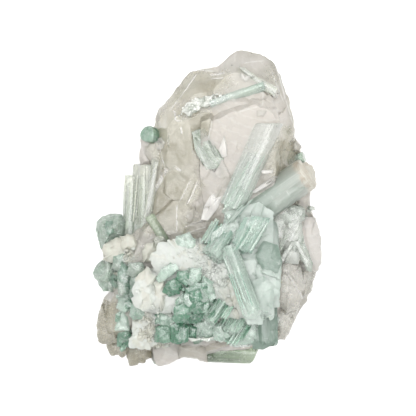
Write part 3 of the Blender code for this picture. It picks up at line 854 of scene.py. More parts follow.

# %% [markdown]
# Flakes that still cling to the break are flat shards; one thin white shard near the top of the stained prism is a
# painted glint.

# %% Flakes
FLAKES = [
    # outline on the front, lift in mm, how white
    ([(5.0, 20.6), (5.8, 17.2), (5.8, 14.6), (4.4, 14.1), (3.3, 16.3), (4.1, 18.6)], 0.7, 0.85),
    ([(1.6, 4.7), (3.0, 3.3), (4.4, 3.6), (3.3, 0.2), (0.4, -3.5), (-1.6, -3.2), (-0.7, 0.7)], 0.5, 1.0),
    ([(2.1, 12.6), (3.5, 12.1), (3.8, 9.8), (1.8, 9.0), (0.7, 10.9)], 0.3, 0.5),
    ([(9.8, 38.2), (12.3, 37.0), (11.2, 35.3), (9.5, 36.5)], 0.4, 0.6),
    ([(14.0, 27.4), (16.9, 27.4), (16.0, 25.7), (14.0, 25.7)], 0.4, 0.3),
    ([(18.6, 32.8), (20.8, 33.1), (20.0, 31.1), (18.6, 31.4)], 0.4, 0.7),
    ([(-14.9, 19.5), (-12.6, 20.3), (-10.9, 18.9), (-12.1, 16.6), (-14.0, 16.6)], 0.5, 0.45),
    # Painted glint: this thin white shard stands in for a glint on the break.
    ([(14.3, 10.7), (16.3, 10.9), (18.9, 10.9), (18.3, 9.8), (15.7, 9.5)], 0.8, 1.0),
    ([(12.3, 4.7), (15.5, 7.0), (19.1, 9.2), (20.6, 9.0), (17.4, 6.4), (13.5, 4.1)], 0.9, 0.9),
    ([(22.5, -0.4), (24.8, 0.7), (26.8, -0.1), (26.5, -1.5), (24.2, -0.7)], 0.5, 0.9),
]


def flake(outline, lift):
    """A flat shard: its outline at the stone's height, a smaller one above it, and a pole in each middle."""
    outline = np.array(outline)
    count = len(outline) * 4
    spot = np.arange(count) / 4.0
    low = np.floor(spot).astype(int)
    share = (spot - low)[:, None]
    loop = outline[low] * (1.0 - share) + outline[(low + 1) % len(outline)] * share
    area = 0.5 * np.sum(outline[:, 0] * np.roll(outline[:, 1], -1) - np.roll(outline[:, 0], -1) * outline[:, 1])
    if area < 0.0:
        loop = loop[::-1]
    middle = loop.mean(0)
    base = front_height(loop)
    level = front_height(middle[None])[0]
    rings = []
    for draw_in, up in ((1.0, -0.8), (0.96, 0.5 * lift), (0.7, lift), (0.35, lift * 1.15)):
        ring = middle + (loop - middle) * draw_in
        rings.append(np.column_stack([ring, base * 0.5 + level * 0.5 + up]))
    return closed_rings(np.array(rings), (*middle, level - 1.0), (*middle, level + lift * 1.2))


flake_parts = [flake(outline, lift) for outline, lift, _ in FLAKES]
whites = [np.full(len(part[0]), one[2]) for part, one in zip(flake_parts, FLAKES)]
flakes = place("quartz_matrix_flakes", flake_parts, [("light", "FLOAT", whites)], sharp=30.0)
settle(flakes, ["quartz_matrix"], quartz_material)

# %% [markdown]
# ## Striated prisms
# Tourmaline grows as long prisms with a rounded three-sided section, and many fine ribs run along them.
# The surface is a function of the turn round the axis and the height along it.

# %% Prism surface
def rib_profile(turns, count, seed):
    """Heights of count uneven flat-topped ribs round the prism, from -1 to 1, read at turns from 0 to 1."""
    draw = np.random.default_rng(seed)
    edges = np.sort(draw.uniform(0.0, 1.0, count))
    heights = draw.uniform(-1.0, 1.0, count)
    places = np.concatenate([edges - 0.0015, edges + 0.0015])
    levels = np.concatenate([np.roll(heights, 1), heights])
    order = np.argsort(places)
    return np.interp(turns, places[order], levels[order], period=1.0)


def frame_of(foot, tip, roll):
    """Side, across and axis vectors of a prism, turned by roll about its axis."""
    axis = (Vector(tip) - Vector(foot)).normalized()
    side = axis.cross(Vector((0.0, 0.0, 1.0)))
    if side.length < 0.05:
        side = axis.cross(Vector((0.0, 1.0, 0.0)))
    side.normalize()
    turn = Matrix((side, axis.cross(side), axis)).transposed() @ Matrix.Rotation(math.radians(roll), 3, "Z")
    return np.array(turn)


def section_of(angle, lobe, sides):
    """Radius round a prism, about 1: a rounded triangle, or flat sides when sides is more than 2."""
    if sides < 3:
        return 1.0 + lobe * np.cos(3.0 * angle)
    half = math.pi / sides
    within = np.mod(angle, 2.0 * half) - half
    return np.minimum(math.cos(half) / np.cos(within) * (1.0 + 0.5 * half ** 2), 1.02) * (1.0 + lobe * np.cos(3.0 * angle))


def prism(foot, tip, width, end="flat", lobe=0.06, roll=0.0, ribs=60, depth=0.03, taper=1.0, sides=0, seed=0, fine=1.0):
    """A tourmaline prism: radius = half width x section x (1 + ribs), then an end drawn in to a point.

    Returns the part, its own coordinates in metres and how far up the prism each point is.
    """
    turn = frame_of(foot, tip, roll)
    foot = np.array(foot)
    length = float(np.linalg.norm(np.array(tip) - foot))
    radius = width / 2.0
    columns = max(14, int(220 * fine * min(1.0, 0.35 + width / 9.0)))
    rows = max(6, int(70 * fine * min(1.0, 0.3 + length / 25.0)))
    turns = np.arange(columns) / columns
    angle = math.tau * turns
    draw = np.random.default_rng(seed + 500)
    shift = draw.uniform(0.0, 100.0, 3)
    cap_rows = max(5, rows // 3)
    share = np.concatenate([np.linspace(0.0, 1.0, rows), np.ones(cap_rows)])
    inward = np.concatenate([np.ones(rows), np.linspace(1.0, 0.06, cap_rows + 1)[1:]])
    share, a = np.meshgrid(share, angle, indexing="ij")
    inward = np.broadcast_to(inward[:, None], share.shape)
    first = rib_profile(turns, ribs, seed)
    second = rib_profile(turns, ribs, seed + 1)
    coarse = rib_profile(turns, max(6, ribs // 5), seed + 2)
    waver = 0.5 + 0.5 * np.sin(share * draw.uniform(3.0, 7.0) + 9.0 * np.cos(a) + draw.uniform(0.0, 6.0))
    change = step(waver, 0.35, 0.65)
    rib = (first * (1.0 - change) + second * change) * depth + coarse * depth * 1.2
    grow = 1.0 + (taper - 1.0) * share
    r = radius * grow * (section_of(a, lobe, sides) - 2.0 * depth + rib)
    x = r * inward * np.cos(a)
    y = r * inward * np.sin(a)
    across = np.hypot(x, y) / radius
    bevel = 0.22 * width * step(across, 0.82, 1.04)
    flat_points = np.stack([x, y, np.zeros_like(x)], -1).reshape(-1, 3) + shift
    field = waves(flat_points, width * 0.5, seed + 3).reshape(x.shape)
    broken = chips(flat_points, 26, seed + 4, 0.35).reshape(x.shape)
    if end == "flat":
        drop = bevel * 0.5 + 0.02 * width * (1.0 + field)
    elif end == "slant":
        drop = (x / radius + 1.0) * 0.20 * width + bevel * 0.4 + 0.02 * width * (1.0 + field)
    elif end == "point":
        faces = np.max([np.cos(a - k * math.tau / 3.0 - 0.4) for k in range(3)], 0) * across
        drop = 0.42 * width * faces + bevel * 0.2
    else:
        drop = 0.10 * width + np.clip(broken, -0.1 * width, 0.2 * width) + bevel * 0.5
    drop = np.maximum(drop, 0.0)
    reach = length - (0.2 * width if end == "broken" else 0.12 * width)
    top = reach + 0.12 * width - drop
    z = np.where(share < 0.999, share * top[rows - 1][None], top)
    local = np.stack([x, y, z], -1)
    rings = local @ turn.T + foot
    middle = z[-1].mean()
    part = closed_rings(rings, foot, turn @ np.array([0.0, 0.0, middle]) + foot)
    own = np.concatenate([local.reshape(-1, 3), [[0.0, 0.0, 0.0]], [[0.0, 0.0, middle]]]) + shift
    rise = np.concatenate([(local[..., 2] / length).ravel(), [0.0], [1.0]])
    return part, own * MM, rise


# %% [markdown]
# The green cluster is a thicket of short blocky crystals. They are made all at once as one array: each is a
# prism with a few flat sides, a bevel and a slanted end.

# %% Blocky crystals
def blocky(feet, tips, widths, seed, sides=6, flatness=(0.55, 1.0), slant=0.5):
    """Many small prisms: rings at the foot, under the bevel and at the end, with poles. Same length arrays in."""
    draw = np.random.default_rng(seed)
    feet, tips, widths = np.array(feet, float), np.array(tips, float), np.array(widths, float)
    count = len(feet)
    axis = tips - feet
    length = np.linalg.norm(axis, axis=1)
    axis = axis / length[:, None]
    helper = draw.normal(size=(count, 3))
    side = np.cross(axis, helper)
    side /= np.linalg.norm(side, axis=1)[:, None]
    other = np.cross(axis, side)
    angle = np.sort(np.arange(sides) + draw.uniform(-0.3, 0.3, (count, sides)), 1) * math.tau / sides
    flat = draw.uniform(*flatness, count)[:, None]
    x = np.cos(angle) * widths[:, None] / 2.0
    y = np.sin(angle) * widths[:, None] / 2.0 * flat
    lean = draw.normal(scale=slant, size=(count, 2))
    slope = x * lean[:, :1] + y * lean[:, 1:]
    levels = []
    for draw_in, share, tilt in ((0.96, 0.0, 0.0), (1.0, 0.5, 0.0), (1.0, 0.84, 1.0), (0.78, 0.97, 0.8)):
        levels.append(np.stack([x * draw_in, y * draw_in, share * length[:, None] + slope * tilt * 0.7], -1))
    zero = np.zeros(count)
    poles = np.stack([np.column_stack([zero, zero, zero]), np.column_stack([zero, zero, length * 0.99])], 1)
    local = np.concatenate([np.stack(levels, 1).reshape(count, -1, 3), poles], 1)
    basis = np.stack([side, other, axis], 1)
    points = np.einsum("nij,njk->nik", local, basis) + feet[:, None]
    _, quads, triangles = closed_rings(np.zeros((len(levels), sides, 3)), np.zeros(3), np.zeros(3))
    each = local.shape[1]
    base = each * np.arange(count)[:, None, None]
    part = (points.reshape(-1, 3), (quads[None] + base).reshape(-1, 4), (triangles[None] + base).reshape(-1, 3))
    own = (local + draw.uniform(0.0, 100.0, (count, 1, 3))).reshape(-1, 3) * MM
    rise = (0.35 + 0.3 * np.clip(local[:, :, 2] / length[:, None], 0.0, 1.0)).ravel()
    return part, own, rise, each


def lump_surface(centre, radii, rough, seed, rows=46, columns=84):
    """An uneven ball: rings from pole to pole, its radii swelled by waves and cut by tilted planes."""
    polar = np.linspace(0.0, math.pi, rows + 2)[1:-1]
    around = np.linspace(0.0, math.tau, columns, endpoint=False)
    polar, around = np.meshgrid(polar, around, indexing="ij")
    ways = np.stack([np.sin(polar) * np.cos(around), np.sin(polar) * np.sin(around), np.cos(polar)], -1)
    flat = ways.reshape(-1, 3)
    points = flat * np.array(radii)
    cut = np.clip(chips(points, 60, seed + 5, 0.5), -1.0, 0.6) + np.clip(chips(points, 260, seed + 6, 0.5), -0.5, 0.3)
    swell = waves(points, 5.0, seed + 40) * 0.5 - 0.5 + cut * rough * 0.7
    points = np.array(centre) + points + flat * swell[:, None]
    rings = points.reshape(rows, columns, 3)
    return closed_rings(rings[::-1], rings[-1].mean(0), rings[0].mean(0))


def slab(outline, low, high, slope=(0.0, 0.0), dome=0.5, cell=2.4, lean=0.14, tone=0.5, vary=0.25, seed=0, fine=1.0, axis=None, ragged=0.12):
    """A broken slab with a faceted top: rings from the middle of its top to its outline, then down to its foot.

    Height = high + slope . (x, y) - dome x share^4 + tilted planes about cell mm wide, each with its own tone.
    """
    outline = np.array(outline)
    ahead = np.roll(outline, -1, 0)
    if (outline[:, 0] * ahead[:, 1] - ahead[:, 0] * outline[:, 1]).sum() < 0.0:
        outline = outline[::-1]
        ahead = np.roll(outline, -1, 0)
    pitch = 0.45 / fine
    edges = []
    for start, end in zip(outline, ahead):
        many = max(2, int(np.linalg.norm(end - start) / pitch))
        edges.append(start + (np.arange(many) / many)[:, None] * (end - start))
    rim = np.concatenate(edges)
    middle = 0.5 * (outline.min(0) + outline.max(0))
    rim = rim + ragged * np.stack([waves(np.column_stack([rim, rim[:, 0]]), size, seed + 15) for size in (2.0, 2.6)], -1)
    rim = np.clip(rim, np.array(cad_low)[:2] / MM + 0.05, np.array(cad_high)[:2] / MM - 0.05)
    radius = np.linalg.norm(rim - middle, axis=1)
    rows = max(5, int(radius.mean() / pitch))
    share = np.linspace(0.0, 1.0, rows + 1)[1:]
    top = middle + share[:, None, None] * (rim - middle)
    points = np.concatenate([top.reshape(-1, 2), np.zeros((rows * len(rim), 1))], 1)
    uneven = points + 0.2 * np.stack([waves(points, 3.0, seed + 11 + k) for k in range(3)], -1) * [1.0, 1.0, 0.0]
    area = 0.5 * (outline[:, 0] * ahead[:, 1] - ahead[:, 0] * outline[:, 1]).sum()
    count = min(max(3, int(area / cell ** 2)), len(uneven))
    draw = np.random.default_rng(seed + 3)
    places = uneven[draw.choice(len(uneven), count, replace=False)]
    tilt = draw.normal(scale=lean, size=(count, 2))
    step_up = draw.uniform(-0.5, 0.5, count) * lean * cell * 0.5
    which, _ = nearest_of(uneven, places)
    planes = ((uneven - places[which])[:, :2] * tilt[which]).sum(1) + step_up[which]
    shares = np.repeat(share, len(rim))
    z = high + (points[:, :2] - middle) @ np.array(slope) - dome * shares ** 4 + planes
    z = np.maximum(z + 0.03 * waves(points, 1.4, seed + 7), low + 0.2)
    upper = np.column_stack([points[:, :2], z]).reshape(rows, len(rim), 3)
    edge = upper[-1]
    under = []
    for draw_in, down in ((1.0, 0.06), (0.99, 0.22), (0.96, 0.4), (0.91, 0.6), (0.84, 0.8), (0.75, 1.0)):
        wall = np.column_stack([edge[:, :2], edge[:, 2] + (low - edge[:, 2]) * down])
        dent = 0.5 + 0.5 * np.clip(waves(wall, 3.0, seed + 21) + chips(wall, 30, seed + 22, 0.3), -1.0, 1.0)
        reach = draw_in - 0.9 * dent * min(1.0, 5.0 * down) / radius
        under.append(np.column_stack([middle + (edge[:, :2] - middle) * reach[:, None], wall[:, 2]]))
    rings = np.concatenate([upper, np.array(under)])
    first = (*middle, upper[0, :, 2].mean())
    part = closed_rings(rings, first, (*middle, low))
    tones = np.clip(tone + draw.normal(scale=vary, size=count), -0.3, 1.4)
    own_tone = np.concatenate([tones[which], np.full(len(part[0]) - rows * len(rim), tone)])
    own = part[0] + 17.0 * seed
    if axis is not None:
        along = np.array([*axis, 0.0]) / np.linalg.norm(axis)
        across = np.array([-along[1], along[0], 0.0])
        own = np.column_stack([own @ across, own[:, 2], own @ along])
    return part, own * MM, np.full(len(own), 0.5), own_tone


def ended(piece, share):
    """The same slab, dressed as if all of it lay at one share of the prism's length."""
    part, own, rise, tone = piece
    return part, own, np.full_like(rise, share), tone


def mound(middle, spread, tone, seed):
    """A low uneven lump of the same crystal that fills the gaps under a thicket."""
    centre = np.array(middle) - [0.0, 0.0, 4.4]
    part = lump_surface(centre, (spread[0] * 1.25 + 0.6, spread[1] * 1.25 + 0.6, 3.2), 0.9, seed, 22, 40)
    count = len(part[0])
    return part, (part[0] + seed) * MM, np.full(count, 0.5), np.full(count, tone)


def mounds(places, tone, seed):
    """Several lumps: middles and half sizes."""
    return [mound(middle, spread, tone, seed * 20 + order) for order, (middle, spread) in enumerate(places)]


def thicket(zones, seed):
    """Small crystals scattered over zones: middle, half sizes, count, width range, length, lean, tone range."""
    draw = np.random.default_rng(seed)
    feet, tips, widths, tones = [], [], [], []
    for middle, spread, count, width_range, length, lean, tone_range in zones:
        where = draw.uniform(-1.0, 1.0, (count, 3))
        where[:, 2] = -np.abs(where[:, 2])
        tip = np.array(middle) - [0.0, 0.0, 0.7] + where * np.array(spread) * [1.0, 1.0, 0.5]
        way = draw.normal(scale=0.28, size=(count, 3)) + np.array(lean) * [0.5, 0.5, 1.2]
        way /= np.linalg.norm(way, axis=1)[:, None]
        count = int(count * 0.6)
        where, way = where[:count], way[:count]
        tip = tip[:count]
        size = draw.uniform(*width_range, count)
        feet.append(tip - way * (length * draw.uniform(0.7, 1.2, count))[:, None])
        tips.append(tip)
        widths.append(size)
        tones.append(draw.uniform(*tone_range, count))
    part, own, rise, each = blocky(np.concatenate(feet), np.concatenate(tips), np.concatenate(widths) * 1.3, seed, sides=5, slant=0.35)
    return [(part, own, rise, np.repeat(np.concatenate(tones), each))]


def bundle(start, end, across, count, width, tones, seed, ragged=0.25):
    """Parallel needles side by side: from start to end, shifted by share x across, each of chance length."""
    draw = np.random.default_rng(seed)
    count, width = count * 2, width * 0.6
    share = (np.arange(count) + 0.5) / count - 0.5
    start, end, across = (np.array(value, float) for value in (start, end, across))
    run = end - start
    shift = share[:, None] * across + draw.normal(scale=0.12, size=(count, 3))
    feet = start + shift + run * draw.uniform(0.0, ragged, (count, 1))
    tips = end + shift - run * draw.uniform(0.0, ragged, (count, 1))
    sizes = width * draw.uniform(0.7, 1.3, count)
    part, own, rise, each = blocky(feet, tips, sizes, seed, sides=5, slant=0.3)
    return part, own, rise, np.repeat(draw.uniform(*tones, count), each)


def crystals(name, many, slot, nodes, material, extra=(), **more):
    """Makes the prisms of a node as one mesh that carries each prism's own coordinates."""
    parts, owns, rises, tones = [], [], [], []
    draw = np.random.default_rng(len(name) * 7 + len(many))
    for one in many:
        values = dict(seed=int(draw.integers(1, 9000)), **more)
        values.update(one)
        tone = values.pop("tone", draw.uniform(0.35, 0.65))
        part, own, rise = prism(**values)
        parts.append(part)
        owns.append(own)
        rises.append(rise)
        tones.append(np.full(len(rise), tone))
    for part, own, rise, tone in extra:
        parts.append(part)
        owns.append(own)
        rises.append(rise)
        tones.append(tone)
    piece = place(
        name, parts,
        [("own", "FLOAT_VECTOR", owns), ("rise", "FLOAT", rises), ("tone", "FLOAT", tones)],
        sharp=18.0,
    )
    return settle(piece, nodes, material)


# %% [markdown]
# A prism's colour changes along it, from the foot to the tip, and fine streaks and hairline cracks run
# in it. The pale streaks are painted glints in a near-white colour. The hairline cracks are real marks
# painted in the same glint colour, so their brightness is a painted glint too. The shader reads the
# prism's own coordinates, stretched along the axis for the streaks.

# %% Tourmaline finishes
def tourmaline(name, foot, tip, clear=0.72, frost=0.0, streak=1.0, deep=0.5, facet=0.3, inside=(0.75, 0.9, 0.82), density=20.0, stain=False, uneven=0.36):
    """Tourmaline from a foot colour to a tip colour, with pale streaks, dark ones and hairline cracks."""
    gem = Finish(name, ior=1.63, transmission_weight=clear)
    own = gem.attribute("own")
    rise = gem.number("rise")
    tone = gem.number("tone")
    glint_streaks = gem.noise(gem.stretched(own, (1.0, 1.0, 0.03)), 1100.0, 2.0, 0.6)
    broad = gem.noise(gem.stretched(own, (1.0, 1.0, 0.05)), 520.0, 2.0, 0.6)
    cloud = gem.noise(own, 260.0, 5.0, 0.65, 0.8)
    cracks = gem.noise(gem.stretched(own, (0.5, 0.5, 1.6)), 600.0, 6.0, 0.75, 1.0)
    body = gem.blend((rise + (cloud - 0.5) * 0.8 + (tone - 0.5) * 1.3).over(0.05, 0.95), rgb(*foot), rgb(*tip))
    dark = [part * deep for part in foot]
    body = gem.blend(broad.over(0.49, 0.37) * 0.45 * streak, body, rgb(*dark))
    # Painted glint: pale streaks along the prism, in a near-white colour that stands in for glints and internal
    # reflections.
    body = gem.blend(glint_streaks.over(0.50, 0.64) * 0.5 * streak, body, rgb(*PAINTED_GLINT))
    # Hairline cracks, real marks, painted bright in the glint colour: partly a painted glint.
    body = gem.blend(cracks.over(0.58, 0.68) * 0.5, body, rgb(*PAINTED_GLINT))
    if stain:
        crust = (rise + (cloud - 0.5) * 0.3).over(0.80, 0.88)
        rust = gem.blend(cracks.over(0.42, 0.56), rgb(0.52, 0.46, 0.37), rgb(0.70, 0.68, 0.60))
        body = gem.blend(crust * cloud.over(0.25, 0.42), body, rust)
    gem.colour(body)
    gem.roughness(0.10 + frost + cloud.over(0.45, 0.75) * 0.2 + glint_streaks * 0.1)
    chip = gem.facets(own, 900.0) * facet
    gem.bump(chip * (0.2 + cloud.over(0.4, 0.6)) + glint_streaks * 0.10 + broad * 0.16 + cracks * 0.03, MM, uneven)
    gem.tinted_inside(rgb(*inside), density)
    return gem.material


# Painted glint colour for the pale streaks and the hairline cracks of the prisms.
PAINTED_GLINT = (0.90, 0.92, 0.89)
pale = tourmaline("pale_tourmaline", (0.68, 0.81, 0.71), (0.77, 0.785, 0.74), clear=0.72, streak=0.9, inside=(0.9, 0.96, 0.92), density=8.0)
aqua = tourmaline("aqua_tourmaline", (0.52, 0.73, 0.62), (0.72, 0.84, 0.75), clear=0.72, deep=0.6)
matte_aqua = tourmaline(
    "matte_aqua_tourmaline", (0.367, 0.449, 0.383), (0.49, 0.52, 0.464), clear=0.6, frost=0.25, streak=0.35, deep=0.75,
    facet=0.2, stain=True,
)
column_aqua = tourmaline(
    "column_tourmaline", (0.225, 0.33, 0.262), (0.72, 0.816, 0.744), clear=0.65, frost=0.2, streak=0.3, deep=0.8, facet=0.4
)
green = tourmaline(
    "green_tourmaline", (0.12, 0.33, 0.20), (0.68, 0.84, 0.73), clear=0.72, streak=0.6, deep=0.55, facet=0.15, inside=(0.6, 0.85, 0.72), density=20.0, uneven=0.24
)
stub_green = tourmaline(
    "stub_tourmaline", (0.27, 0.43, 0.33), (0.52, 0.62, 0.53), clear=0.72, streak=0.7, deep=0.5, facet=0.15, inside=(0.7, 0.88, 0.78), density=15.0, uneven=0.24
)
grey = tourmaline("grey_tourmaline", (0.54, 0.62, 0.51), (0.80, 0.82, 0.72), clear=0.72, inside=(0.85, 0.92, 0.86))
glassy = tourmaline("glassy_tourmaline", (0.54, 0.61, 0.53), (0.74, 0.77, 0.71), clear=0.7, streak=0.5, facet=0.15, uneven=0.3)
olive = tourmaline("olive_tourmaline", (0.265, 0.347, 0.235), (0.51, 0.592, 0.449), streak=0.5, inside=(0.65, 0.78, 0.6))
groove = tourmaline("groove_tourmaline", (0.80, 0.88, 0.83), (0.62, 0.76, 0.66), clear=0.72, streak=0.6)
sparkling = tourmaline("sparkling_tourmaline", (0.42, 0.45, 0.39), (0.78, 0.79, 0.74), clear=0.45, streak=0.4, facet=0.5)

# %% [markdown]
# The prisms that stand out, one node after another. Ends are points in millimetres, foot first.

# %% Standing prisms
def crystal(foot, tip, width, **more):
    return dict(foot=foot, tip=tip, width=width, **more)


crystals("long_prism_fine", [
    crystal((7.4, 0.2, 22.8), (18.4, 25.4, 23.8), 7.9, end="slant", roll=180, ribs=24, depth=0.035, tone=0.6),
    crystal((6.0, -1.6, 23.0), (10.6, 6.4, 25.2), 4.6, end="broken", ribs=16, depth=0.07, tone=0.05),
    crystal((5.6, 0.4, 23.4), (12.6, 15.6, 25.2), 2.4, end="broken", ribs=16, depth=0.06, tone=0.35),
], "pale_tourmaline", ["long_prism"], pale, extra=[
    bundle((10.9, 9.5, 26.4), (14.6, 16.6, 26.6), (2.6, 1.3, 0.3), 6, 0.5, (0.7, 1.0), 5),
    bundle((6.9, 0.5, 25.8), (14.3, 14.4, 26.9), (5.0, 2.4, 0.2), 4, 0.6, (-0.1, 0.3), 7, 0.12),
    bundle((8.4, 3.6, 26.0), (12.3, 12.1, 26.6), (2.8, 1.4, 0.3), 6, 0.5, (0.2, 0.9), 6),
])
crystals("stained_prism_fine", [
    crystal((13.6, -0.4, 20.2), (28.8, 10.4, 20.6), 9.6, end="flat", lobe=0.05, roll=20, ribs=34, depth=0.012, tone=0.5),
], "aqua_tourmaline", ["stained_prism"], matte_aqua, extra=[
    slab([(13.8, 2.4), (20.6, 7.8), (24.5, 10.4), (27.7, 5.6), (22.5, 1.0), (18.0, -2.7)], 19.0, 25.2, (-0.02, 0.03), dome=1.2, cell=6.0, lean=0.03, tone=0.5, vary=0.08, seed=391, axis=(1.5, 1.08)),
    ended(slab([(24.0, 10.1), (25.9, 12.1), (27.9, 13.2), (29.6, 12.1), (30.5, 10.4), (30.5, 7.0), (29.6, 5.3), (27.4, 5.0)], 10.0, 23.6, (-0.06, 0.0), dome=1.6, cell=2.4, lean=0.06, tone=0.5, vary=0.2, seed=395), 0.97),
])
crystals("centre_prism_fine", [
    crystal((9.0, -14.0, 21.0), (13.8, -4.0, 28.0), 7.0, end="flat", roll=30, ribs=20, depth=0.03, tone=0.45),
], "aqua_tourmaline", ["centre_prism"], aqua, extra=[
    slab([(7.2, -9.2), (10.4, -2.4), (14.0, -2.1), (17.7, -2.7), (15.2, -7.8), (12.3, -12.6), (9.2, -11.5)], 20.0, 30.6, (0.05, 0.1), dome=1.0, cell=6.0, lean=0.03, tone=0.4, vary=0.05, seed=392, axis=(0.5, 1.0)),
    bundle((9.5, -10.9, 31.2), (14.0, -3.5, 31.4), (5.4, 2.8, 0.0), 5, 0.5, (0.0, 1.3), 393, 0.12),
    bundle((12.3, -11.7, 30.4), (16.9, -3.8, 31.0), (0.6, 0.3, 0.0), 1, 0.7, (1.3, 1.4), 394, 0.05),
])
crystals("leaning_prism_fine", [
    crystal((6.0, -10.4, 26.6), (13.6, -30.8, 28.0), 6.2, end="point", ribs=16, depth=0.055, tone=0.95),
], "aqua_tourmaline", ["leaning_prism"], aqua, extra=[
    bundle((7.8, -16.8, 29.6), (11.8, -27.6, 30.6), (3.6, 1.4, 0.0), 5, 0.5, (-0.1, 0.9), 398, 0.15),
])
crystals("centre_left_prism_fine", [
    crystal((8.0, -4.6, 22.0), (0.6, -14.4, 27.6), 6.8, end="broken", roll=40, ribs=20, depth=0.07, tone=0.45),
], "aqua_tourmaline", ["centre_left_prism"], aqua, extra=[
    slab([(-0.4, -11.7), (1.8, -6.6), (5.5, -3.8), (9.5, -4.4), (9.5, -10.0), (5.0, -15.1), (1.3, -15.1)], 20.0, 26.6, tone=1.25, vary=0.25, cell=2.6, lean=0.08, seed=396, axis=(-0.5, -0.9)),
    bundle((4.4, -3.8, 24.5), (-0.1, -11.7, 27.2), (4.2, -2.6, 0.6), 11, 1.0, (0.2, 0.9), 11),
    bundle((6.1, -5.5, 25.5), (2.7, -14.6, 27.0), (5.6, -1.0, 0.4), 12, 0.9, (0.1, 0.9), 12),
    *thicket([
        ((5.0, -6.6, 27.2), (3.4, 3.0, 1.4), 16, (0.8, 1.8), 2.6, (-0.5, -0.8, 0.6), (0.3, 1.1)),
        ((5.5, -10.6, 27.6), (3.0, 3.4, 1.4), 18, (0.7, 1.6), 2.4, (-0.4, -0.8, 0.6), (0.6, 1.3)),
    ], 13),
])
crystals("right_column_fine", [
    crystal((17.2, -4.4, 19.0), (17.4, -20.4, 26.0), 6.8, end="slant", ribs=22, depth=0.02, tone=0.9, sides=4, roll=45),
    crystal((15.6, -16.0, 19.0), (15.9, -31.0, 25.6), 6.8, end="broken", ribs=22, depth=0.02, roll=40, tone=0.85, sides=4),
    crystal((16.4, -27.0, 18.0), (16.7, -39.4, 18.6), 7.6, end="broken", ribs=22, depth=0.02, roll=40, tone=-0.7, sides=4),
], "aqua_tourmaline", ["right_column"], column_aqua, extra=[
    slab([(7.2, -15.1), (9.5, -11.7), (14.0, -11.7), (15.2, -19.1), (16.3, -25.9), (15.7, -32.2), (11.2, -32.2), (9.5, -25.9)], 20.0, 26.8, tone=0.8, vary=0.35, cell=2.4, lean=0.08, seed=341),
    slab([(12.9, -39.5), (12.9, -32.2), (15.7, -27.6), (19.7, -28.2), (20.0, -37.3), (16.3, -39.5)], 10.0, 21.6, tone=-0.7, vary=0.2, cell=3.4, lean=0.08, seed=343),
    slab([(16.9, -27.6), (16.9, -19.1), (19.1, -15.1), (21.1, -15.1), (20.3, -27.6)], 14.0, 25.0, tone=1.1, vary=0.1, cell=3.4, lean=0.06, seed=344),
    slab([(9.5, -6.6), (8.9, 0.2), (14.6, 1.9), (18.6, -1.0), (18.6, -11.7), (15.7, -15.7), (12.3, -15.1), (10.6, -10.0)], 18.0, 26.6, tone=1.05, vary=0.3, cell=2.6, lean=0.08, seed=345),
    slab([(4.4, -7.8), (5.0, -1.0), (9.5, 0.2), (11.2, -2.7), (8.4, -8.9), (6.1, -8.9)], 18.0, 26.2, tone=1.0, vary=0.25, cell=2.6, lean=0.08, seed=346),
    bundle((6.1, -4.4, 26.8), (11.5, 1.9, 27.2), (3.6, 2.4, 0.2), 7, 0.6, (0.1, 0.9), 349),
    slab([(13.5, -12.9), (15.7, -8.9), (19.7, -10.0), (21.1, -14.6), (19.7, -18.0), (15.7, -17.4)], 18.0, 27.8, (0.0, -0.12), tone=0.25, vary=0.05, cell=9.0, lean=0.02, seed=347),
    slab([(14.0, -23.7), (13.8, -15.7), (17.4, -14.0), (20.6, -15.7), (20.3, -23.7), (16.9, -25.4)], 18.0, 27.2, tone=0.65, vary=0.2, cell=3.4, lean=0.05, seed=342),
    slab([(12.3, -20.2), (15.7, -18.5), (18.9, -21.4), (18.6, -27.6), (14.3, -28.2), (12.3, -25.4)], 18.0, 27.6, (0.0, 0.1), tone=0.6, vary=0.1, cell=5.0, lean=0.02, seed=348),
] + mounds([
    ((11.2, -14.0, 26.0), (2.4, 2.6)), ((12.3, -21.4, 26.4), (2.6, 3.4)), ((8.9, -22.5, 25.6), (3.0, 2.6)),
    ((15.7, -25.4, 25.2), (2.4, 3.0)), ((19.1, -15.1, 22.6), (1.6, 4.0)), ((18.6, -23.1, 22.0), (1.6, 4.0)),
    ((12.9, -32.2, 24.0), (3.4, 2.6)), ((10.6, -36.7, 20.0), (4.0, 1.8)), ((18.0, -31.0, 20.6), (2.2, 3.0)),
    ((8.4, -6.6, 27.0), (2.0, 3.0)), ((18.6, -5.5, 21.6), (2.4, 3.4)), ((12.3, -1.0, 23.4), (3.4, 2.0)),
], 0.8, 20))
crystals("bottom_bar_fine", [
    crystal((-0.6, -41.2, 7.2), (15.4, -41.7, 7.6), 5.4, end="slant", ribs=24, depth=0.02, tone=0.3),
], "olive_tourmaline", ["bottom_bar"], olive, extra=[
    slab([(-1.0, -41.0), (1.8, -40.1), (2.4, -42.9), (0.1, -43.5)], 5.4, 10.9, (0.1, 0.05), tone=-0.3, vary=0.1, cell=2.0, seed=397),
])
